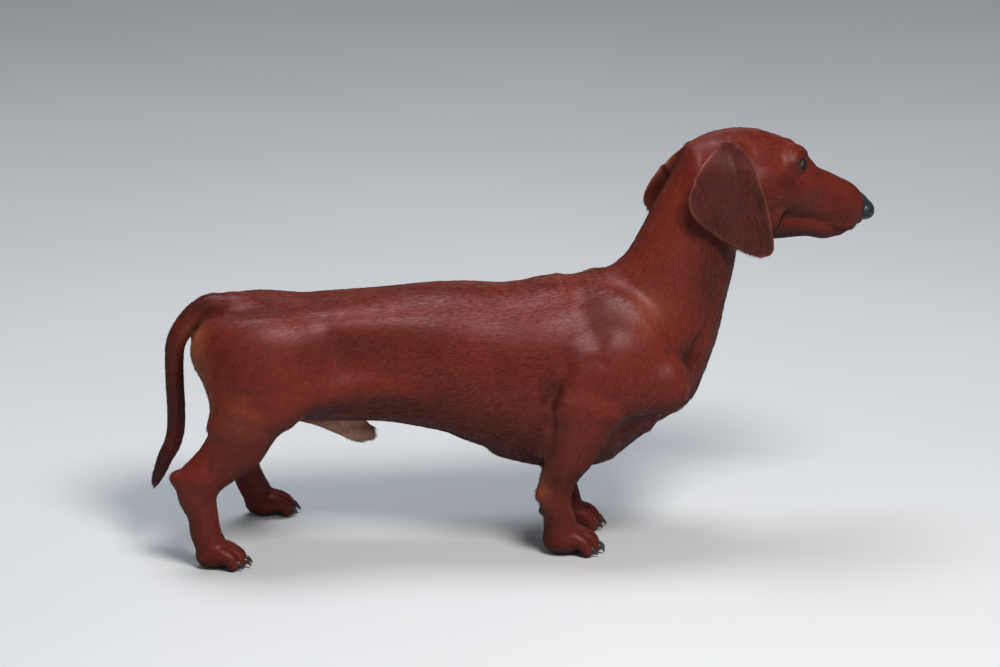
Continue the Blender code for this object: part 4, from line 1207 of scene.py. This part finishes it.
def gap_to(points, place):
    return np.linalg.norm(points - np.array(place), axis=1)


def whisker_spots():
    """Three rows of whisker roots on each flew."""
    return [on_head((128 - 5.2 * place - 1.5 * row, (15.2 + 0.9 * place) * side,
                     2.5 - 4 * row - 0.4 * place))
            for side in (-1, 1) for row in range(3) for place in range(4)]


def painted_underside_shade(points, normals):
    """Painted shade where the coat faces down, on all but the sheath."""
    sheath = np.exp(-(((points - (-146, 0, 100)) / (36, 16, 20)) ** 2).sum(axis=1))
    return 0.55 * np.clip(0.1 - normals[:, 2], 0, 1) * (1 - sheath)


def set_masks(mesh, masks):
    for name, values in masks.items():
        layer = mesh.attributes.new(name, "FLOAT", "POINT")
        layer.data.foreach_set("value", values.astype(np.float32))


def set_lie(mesh, lie):
    layer = mesh.attributes.new("lie", "FLOAT_VECTOR", "POINT")
    layer.data.foreach_set("vector", lie.astype(np.float32).ravel())


# --- Tufts ---

def triangles(mesh, of="vertices"):
    """The vertices, or the loops, of each triangle."""
    mesh.calc_loop_triangles()
    return read(mesh.loop_triangles, of, 3, np.int32)


def corner_uvs(mesh):
    """The UV of each corner of each triangle."""
    return read(mesh.uv_layers["OFBake"].data, "uv", 2)[triangles(mesh, "loops")]


def unwrap(item):
    bpy.context.view_layer.objects.active = item
    item.select_set(True)
    item.data.uv_layers.new(name="OFBake")
    bpy.ops.object.mode_set(mode="EDIT")
    bpy.ops.mesh.select_all(action="SELECT")
    bpy.ops.uv.smart_project(angle_limit=math.radians(66), island_margin=0.002)
    bpy.ops.object.mode_set(mode="OBJECT")
    item.select_set(False)


class Skin:
    """What the tufts need to know of the finished skin."""

    def __init__(self, item):
        mesh = item.data
        self.points = coordinates(mesh) / MM
        self.normals = read(mesh.vertex_normals, "vector", 3)
        self.triangles = triangles(mesh)
        self.uvs = corner_uvs(mesh)
        corners = self.points[self.triangles]
        self.areas = np.linalg.norm(np.cross(corners[:, 1] - corners[:, 0],
                                             corners[:, 2] - corners[:, 0]), axis=1) / 2


SEED = 11
SWAY = 8.0                      # degrees that tufts turn to either side of the lie
SINK = 0.12                     # how far below its half width a tuft's third corner lies, mm
ROOT_RISE = 0.04                # how far its root stands off the skin
LOWEST_TUFT = 0.05              # and how far every tuft stays above the floor
# A tuft is a flat pyramid: two corners at the root, one below them in the skin, and the tip.
TUFT_FACES = np.array([(1, 0, 3), (2, 1, 3), (0, 2, 3), (0, 1, 2)])
TUFT_PATCH = (np.array([(0, 0), (1, 0), (0.5, 0.3), (0.5, 1)]) - 0.5) * 0.003   # on the unwrap


class Tufts:
    """Tufts at random places on the skin."""

    def __init__(self, skin, values, density, draw):
        expected = skin.areas * density[skin.triangles].mean(axis=1)
        count = draw.poisson(expected)
        where = np.repeat(np.arange(len(count)), count)
        self.shares = draw.dirichlet((1.0, 1.0, 1.0), len(where))
        self.corners = skin.triangles[where]
        self.root = self.at(skin.points)
        self.normal = unit(self.at(skin.normals))
        self.lie = unit(self.at(values["lie"]))
        self.uv = (skin.uvs[where] * self.shares[..., None]).sum(axis=1)
        self.tone = draw.uniform(0, 1, len(where))
        self.points = self.shape(values, draw)

    def at(self, rows):
        """A value of the skin's points, at the tufts' roots."""
        rows = rows.reshape(len(rows), -1)
        return (rows[self.corners] * self.shares[..., None]).sum(axis=1)

    def shape(self, values, draw):
        """The four points of every tuft."""
        count = len(self.root)
        length, lift, width = (self.at(values[key])[:, 0] for key in ("length", "lift", "width"))
        turn = np.radians(draw.normal(0, SWAY, count))[:, None]
        lift = np.radians(lift * draw.uniform(0.4, 1.4, count))[:, None]
        length = (length * draw.uniform(0.7, 1.25, count))[:, None]
        half = (width * draw.uniform(0.8, 1.2, count) / 2)[:, None]
        normal = self.normal
        lie = unit(self.lie - normal * (self.lie * normal).sum(axis=1, keepdims=True))
        lie = lie * np.cos(turn) + np.cross(normal, lie) * np.sin(turn)
        across = np.cross(normal, lie) * half
        out = normal * np.sin(lift) + lie * np.cos(lift)
        root = self.root + normal * ROOT_RISE
        deep = normal * (half + SINK)
        points = np.stack([root - across, root + across, root - deep, root + out * length], axis=1)
        points[..., 2] = np.maximum(points[..., 2], LOWEST_TUFT)
        return points


def tuft_piece(name, tufts, masks, mine):
    """One object of those tufts that are picked as its own."""
    count = int(mine.sum())

    def at_points(rows):
        return np.repeat(rows[mine], 4, axis=0)

    faces = (TUFT_FACES + 4 * np.arange(count)[:, None, None]).ravel()
    mesh = bpy.data.meshes.new(name)
    mesh.vertices.add(4 * count)
    mesh.vertices.foreach_set("co", (tufts.points[mine] * MM).ravel())
    mesh.loops.add(len(faces))
    mesh.loops.foreach_set("vertex_index", faces.astype(np.int32))
    mesh.polygons.add(len(faces) // 3)
    mesh.polygons.foreach_set("loop_start", np.arange(0, len(faces), 3, dtype=np.int32))
    mesh.update()
    set_masks(mesh, {**{key: at_points(tufts.at(rows)[:, 0]) for key, rows in masks.items()},
                     "tone": at_points(tufts.tone)})
    set_lie(mesh, at_points(tufts.lie))
    uvs = (tufts.uv[mine][:, None] + TUFT_PATCH).reshape(-1, 2)
    mesh.uv_layers.new(name="OFBake").data.foreach_set("uv", uvs[faces].ravel())
    mesh.shade_smooth()
    mesh.normals_split_custom_set_from_vertices(at_points(tufts.normal).astype(np.float32))
    return link(name, mesh)


# --- The build, with its camera and studio ---

FLESH = ("head", "lower_jaw", "neck", "chest", "loin", "croup", "tail_upper", "tail_lower",
         "ear_right", "ear_left", "foreleg_right", "foreleg_left", "forepaw_right", "forepaw_left",
         "thigh_right", "thigh_left", "shank_right", "shank_left", "hindpaw_right", "hindpaw_left")


def dog_shift():
    """From the dog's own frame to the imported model's, in metres, read off the right eye."""
    low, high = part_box("eye_right")
    middle = (np.array(low) + np.array(high)) / 2
    shift = middle - on_head(mirrored(EYE_PLACE, -1)) * MM
    shift[2] = 0
    return shift


CAMERA_AZIMUTH = math.radians(-5)
CAMERA_ELEVATION = math.radians(17)
CAMERA_AWAY = 2.8
CAMERA_LENS = 124.4             # on a sensor 36 mm wide
LOOK_AT = (-0.0136, 0, 0.17694)
LIT_AT = (0, 0, 0.15)


def place_facing(item, place, way):
    """Put a camera or a light at a place, looking this way."""
    item.location = place
    item.rotation_mode = "QUATERNION"
    item.rotation_quaternion = way.to_track_quat("-Z", "Y")


def make_camera(shift):
    back = Vector((math.sin(CAMERA_AZIMUTH) * math.cos(CAMERA_ELEVATION),
                   -math.cos(CAMERA_AZIMUTH) * math.cos(CAMERA_ELEVATION),
                   math.sin(CAMERA_ELEVATION)))
    data = bpy.data.cameras.new("camera")
    data.sensor_width = 36
    data.lens = CAMERA_LENS
    camera = link("camera", data)
    place_facing(camera, Vector(LOOK_AT) + Vector(shift) + back * CAMERA_AWAY, -back)
    bpy.context.scene.camera = camera


def make_light(name, place, size, power, colour):
    data = bpy.data.lights.new(name, "AREA")
    data.shape = "DISK"
    data.size = size
    data.energy = power
    data.color = colour
    place_facing(link(name, data), place, Vector(LIT_AT) - Vector(place))


def make_studio():
    world = bpy.data.worlds.new("studio")
    world.use_nodes = True
    sky = world.node_tree.nodes["Background"].inputs
    sky["Color"].default_value = (0.76, 0.85, 0.97, 1)
    sky["Strength"].default_value = 0.28
    bpy.context.scene.world = world
    make_light("key", (0.5, -1.3, 1.9), 0.8, 57, (1.0, 0.97, 0.95))
    make_light("top", (-0.3, 0.4, 2.3), 1.1, 34, (0.84, 0.90, 1.0))
    bpy.context.scene.view_settings.view_transform = "Standard"
    floor = add_object("floor", [(-8, -8, 0), (8, -8, 0), (8, 8, 0), (-8, 8, 0)], [(0, 1, 2, 3)])
    finish = Finish("floor", Roughness=0.8)
    finish.colour(finish.mottled(0.6, (0.50, 0.50, 0.49), (0.53, 0.53, 0.52)))
    floor.data.materials.append(finish.material)


def to_world(item, shift):
    """From millimetres in the dog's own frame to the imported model's metres."""
    item.data.transform(Matrix.Translation(shift) @ Matrix.Scale(MM, 4))
    item.data.shade_smooth()


def add_to_dog(item, material, slot, *replaced):
    item.data.materials.append(material)
    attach(item, "root")
    if replaced:
        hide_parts(*replaced)


def build():
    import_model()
    shift = dog_shift()
    make_camera(shift)
    make_studio()
    item = make_skin()
    points = coordinates(item.data)
    to_world(item, shift)
    unwrap(item)
    skin = Skin(item)
    lie, length, lift = coat_at(points, skin.normals)
    masks = paint(points, skin.normals)
    set_masks(item.data, masks)
    set_lie(item.data, lie)
    add_to_dog(item, coat_finish("skin", False), "coat", *FLESH)
    add_coat(skin, lie, length, lift, masks)
    add_eyes(shift)
    add_nose(shift)
    add_claws(shift)


# --- The pieces: coat, nose, claws and eyes ---

# The coat's pieces, each with the tufts that are nearest to its middle.
COAT_REGIONS = {
    "muzzle": (262, 10, 272), "face": (215, 10, 295), "skull": (165, 5, 300),
    "ear_right": (165, -45, 285), "ear_left": (145, 45, 280), "neck": (135, 0, 235),
    "chest": (70, 0, 160), "loin": (-50, 0, 160), "croup": (-170, 0, 180),
    "forelegs": (42, 0, 50), "hindlegs": (-230, 0, 60), "tail": (-278, 0, 130),
}
COVER = 0.5                     # share of the skin that tufts would hide, side by side


def add_coat(skin, lie, length, lift, masks):
    draw = np.random.default_rng(SEED)
    finish = coat_finish("coat", True)
    length = length * (1 - 0.7 * masks["rim"])
    width = np.clip(length * 0.055, 0.17, 0.34)
    values = {"lie": lie, "length": length, "lift": lift, "width": width}
    density = COVER * 2 / (length * width) * (1 - masks["bare"])
    tufts = Tufts(skin, values, density, draw)
    places = np.array(list(COAT_REGIONS.values()))
    region = ((tufts.root[:, None] - places) ** 2).sum(axis=2).argmin(axis=1)
    for index, name in enumerate(COAT_REGIONS):
        add_to_dog(tuft_piece("coat_" + name, tufts, masks, region == index), finish, "coat")


def nose_forms():
    forms = [head_ball((145.4, 0, 6.4), (9.6, 10.2, 7.8), 3, (1, 0, -0.5)),
             head_ball((138.6, 0, 13.2), (8.4, 9, 5.4), 3, (1, 0, -0.5)),
             head_ball((145.2, 0, 1.6), (5.6, 5.4, 4.4), 3)]
    for side in (-1, 1):
        forms.append(head_ball((144.6, 6.2 * side, 4.6), (6.2, 4.6, 5.2), 3))
    return forms


NOSE_CUTS = [([(154, 3.0, 4.6), (152.4, 5.8, 5.6), (149.6, 8.2, 5.0)], 2.0, -4.2, 0.15)]
NOSE_SLITS = [([(149.6, 8.2, 5.0), (146.4, 10, 3.6), (142, 10.6, 1.8)], 1.0, -1.6, 0.1)]
PEBBLE = 0.0011                 # size of the leather's cells, in metres
NOSTRIL_SHADE_DEPTH = 1.2              # how deep in the nostrils the painted shade is full, mm


def add_nose(shift):
    """The nose leather, just proud of the skin, with its nostrils cut in."""
    forms = nose_forms()
    nostrils = all_folds(NOSE_CUTS + NOSE_SLITS, on_the_head=True)
    groove = Fold([(152.6, 0, 10), (154, 0, 3), (150.4, 0, -2)], 0.7, -0.7, on_the_head=True)
    item = surface_of("nose_leather", forms, 0.7)
    at, slopes = settle(coordinates(item.data), lambda at: field(at, forms), 3, 2.0)
    at = at + slopes * sum(cut.rise(at) for cut in nostrils + [groove])[:, None]
    depth = -sum(cut.rise(at) for cut in nostrils)
    move_vertices(item.data, at)
    to_world(item, shift)
    set_masks(item.data, {"hollow": np.clip(depth / NOSTRIL_SHADE_DEPTH, 0, 1)})
    finish = Finish("nose_leather", Roughness=0.36, Specular_IOR_Level=0.45)
    cells = finish.node("ShaderNodeTexVoronoi", feature="DISTANCE_TO_EDGE")
    finish.give(cells.inputs["Vector"], finish.place)
    finish.give(cells.inputs["Scale"], 1.0 / PEBBLE)
    finish.bump(finish.span(cells.outputs["Distance"], 0.0, 0.25), 0.45, 0.00008)
    leather = finish.mottled(0.003, (0.008, 0.007, 0.009), (0.018, 0.016, 0.020))
    # painted shade, near black, deep in the nostrils
    finish.colour(finish.blend(finish.mask("hollow"), leather, (0.001, 0.001, 0.001)))
    add_to_dog(item, finish.material, "nose_leather", "nose")


def claw(paw, out, reach):
    """The surface of one toe's claw."""
    out *= 1.06
    rows = [(reach - 5, out, 7.2, 1.5, 1.8), (reach - 1, out, 7.0, 1.4, 1.8),
            (reach + 1.2, out, 5.8, 1.2, 1.5), (reach + 2.9, out, 3.8, 0.9, 1.1),
            (reach + 3.6, out, 2.2, 0.45, 0.55)]
    return Tube(paw.place(rows), paw.turn[1], cap=0.9, rings=3).surface(12)


def add_claws(shift):
    finish = Finish("claw", Roughness=0.28)
    finish.colour(finish.mottled(0.002, (0.012, 0.011, 0.014), (0.05, 0.045, 0.05)))
    finish.bump(finish.noise(0.0006), 0.2, 0.0001)
    for name, paw in PAWS.items():
        points, faces = joined(claw(paw, *toe) for toe in paw.toes())
        item = add_object("claws_" + name, points * MM + shift, faces)
        item.data.shade_smooth()
        add_to_dog(item, finish.material, "nose_leather")


EYE_RINGS = 40
EYE_STEPS = 48


def eye_finish():
    """Pupil, iris, its dark edge and the white, by the angle from the middle of the gaze."""
    finish = Finish("eye", Roughness=0.05)
    ring = finish.mask("ring")
    iris = finish.mottled(0.0008, (0.110, 0.036, 0.010), (0.045, 0.014, 0.005))
    colour = finish.blend(finish.span(ring, 0.22, 0.26), (0.002, 0.002, 0.002), iris)
    colour = finish.blend(finish.span(ring, 0.56, 0.66), colour, (0.008, 0.004, 0.003))
    finish.colour(finish.blend(finish.span(ring, 0.82, 0.95), colour, (0.16, 0.10, 0.09)))
    return finish.material


def add_eyes(shift):
    finish = eye_finish()
    for side, name in ((-1, "right"), (1, "left")):
        ball = Ball(on_head(mirrored(EYE_PLACE, side)), (1, 1, 1), gaze(side) @ HEAD_AXES)
        tilt = np.linspace(0, math.pi, EYE_RINGS + 1)[1:-1]
        bulge = EYE_RADIUS - 0.15 + 0.55 * bell(tilt, 0.55)
        local, faces = globe(EYE_RINGS, EYE_STEPS, bulge)
        item = add_object("eyeball_" + name, (local @ ball.axes + ball.centre) * MM + shift, faces)
        set_masks(item.data, {"ring": np.append(np.repeat(tilt, EYE_STEPS), [0.0, math.pi])})
        item.data.shade_smooth()
        add_to_dog(item, finish, "eye", "eye_" + name)


build()
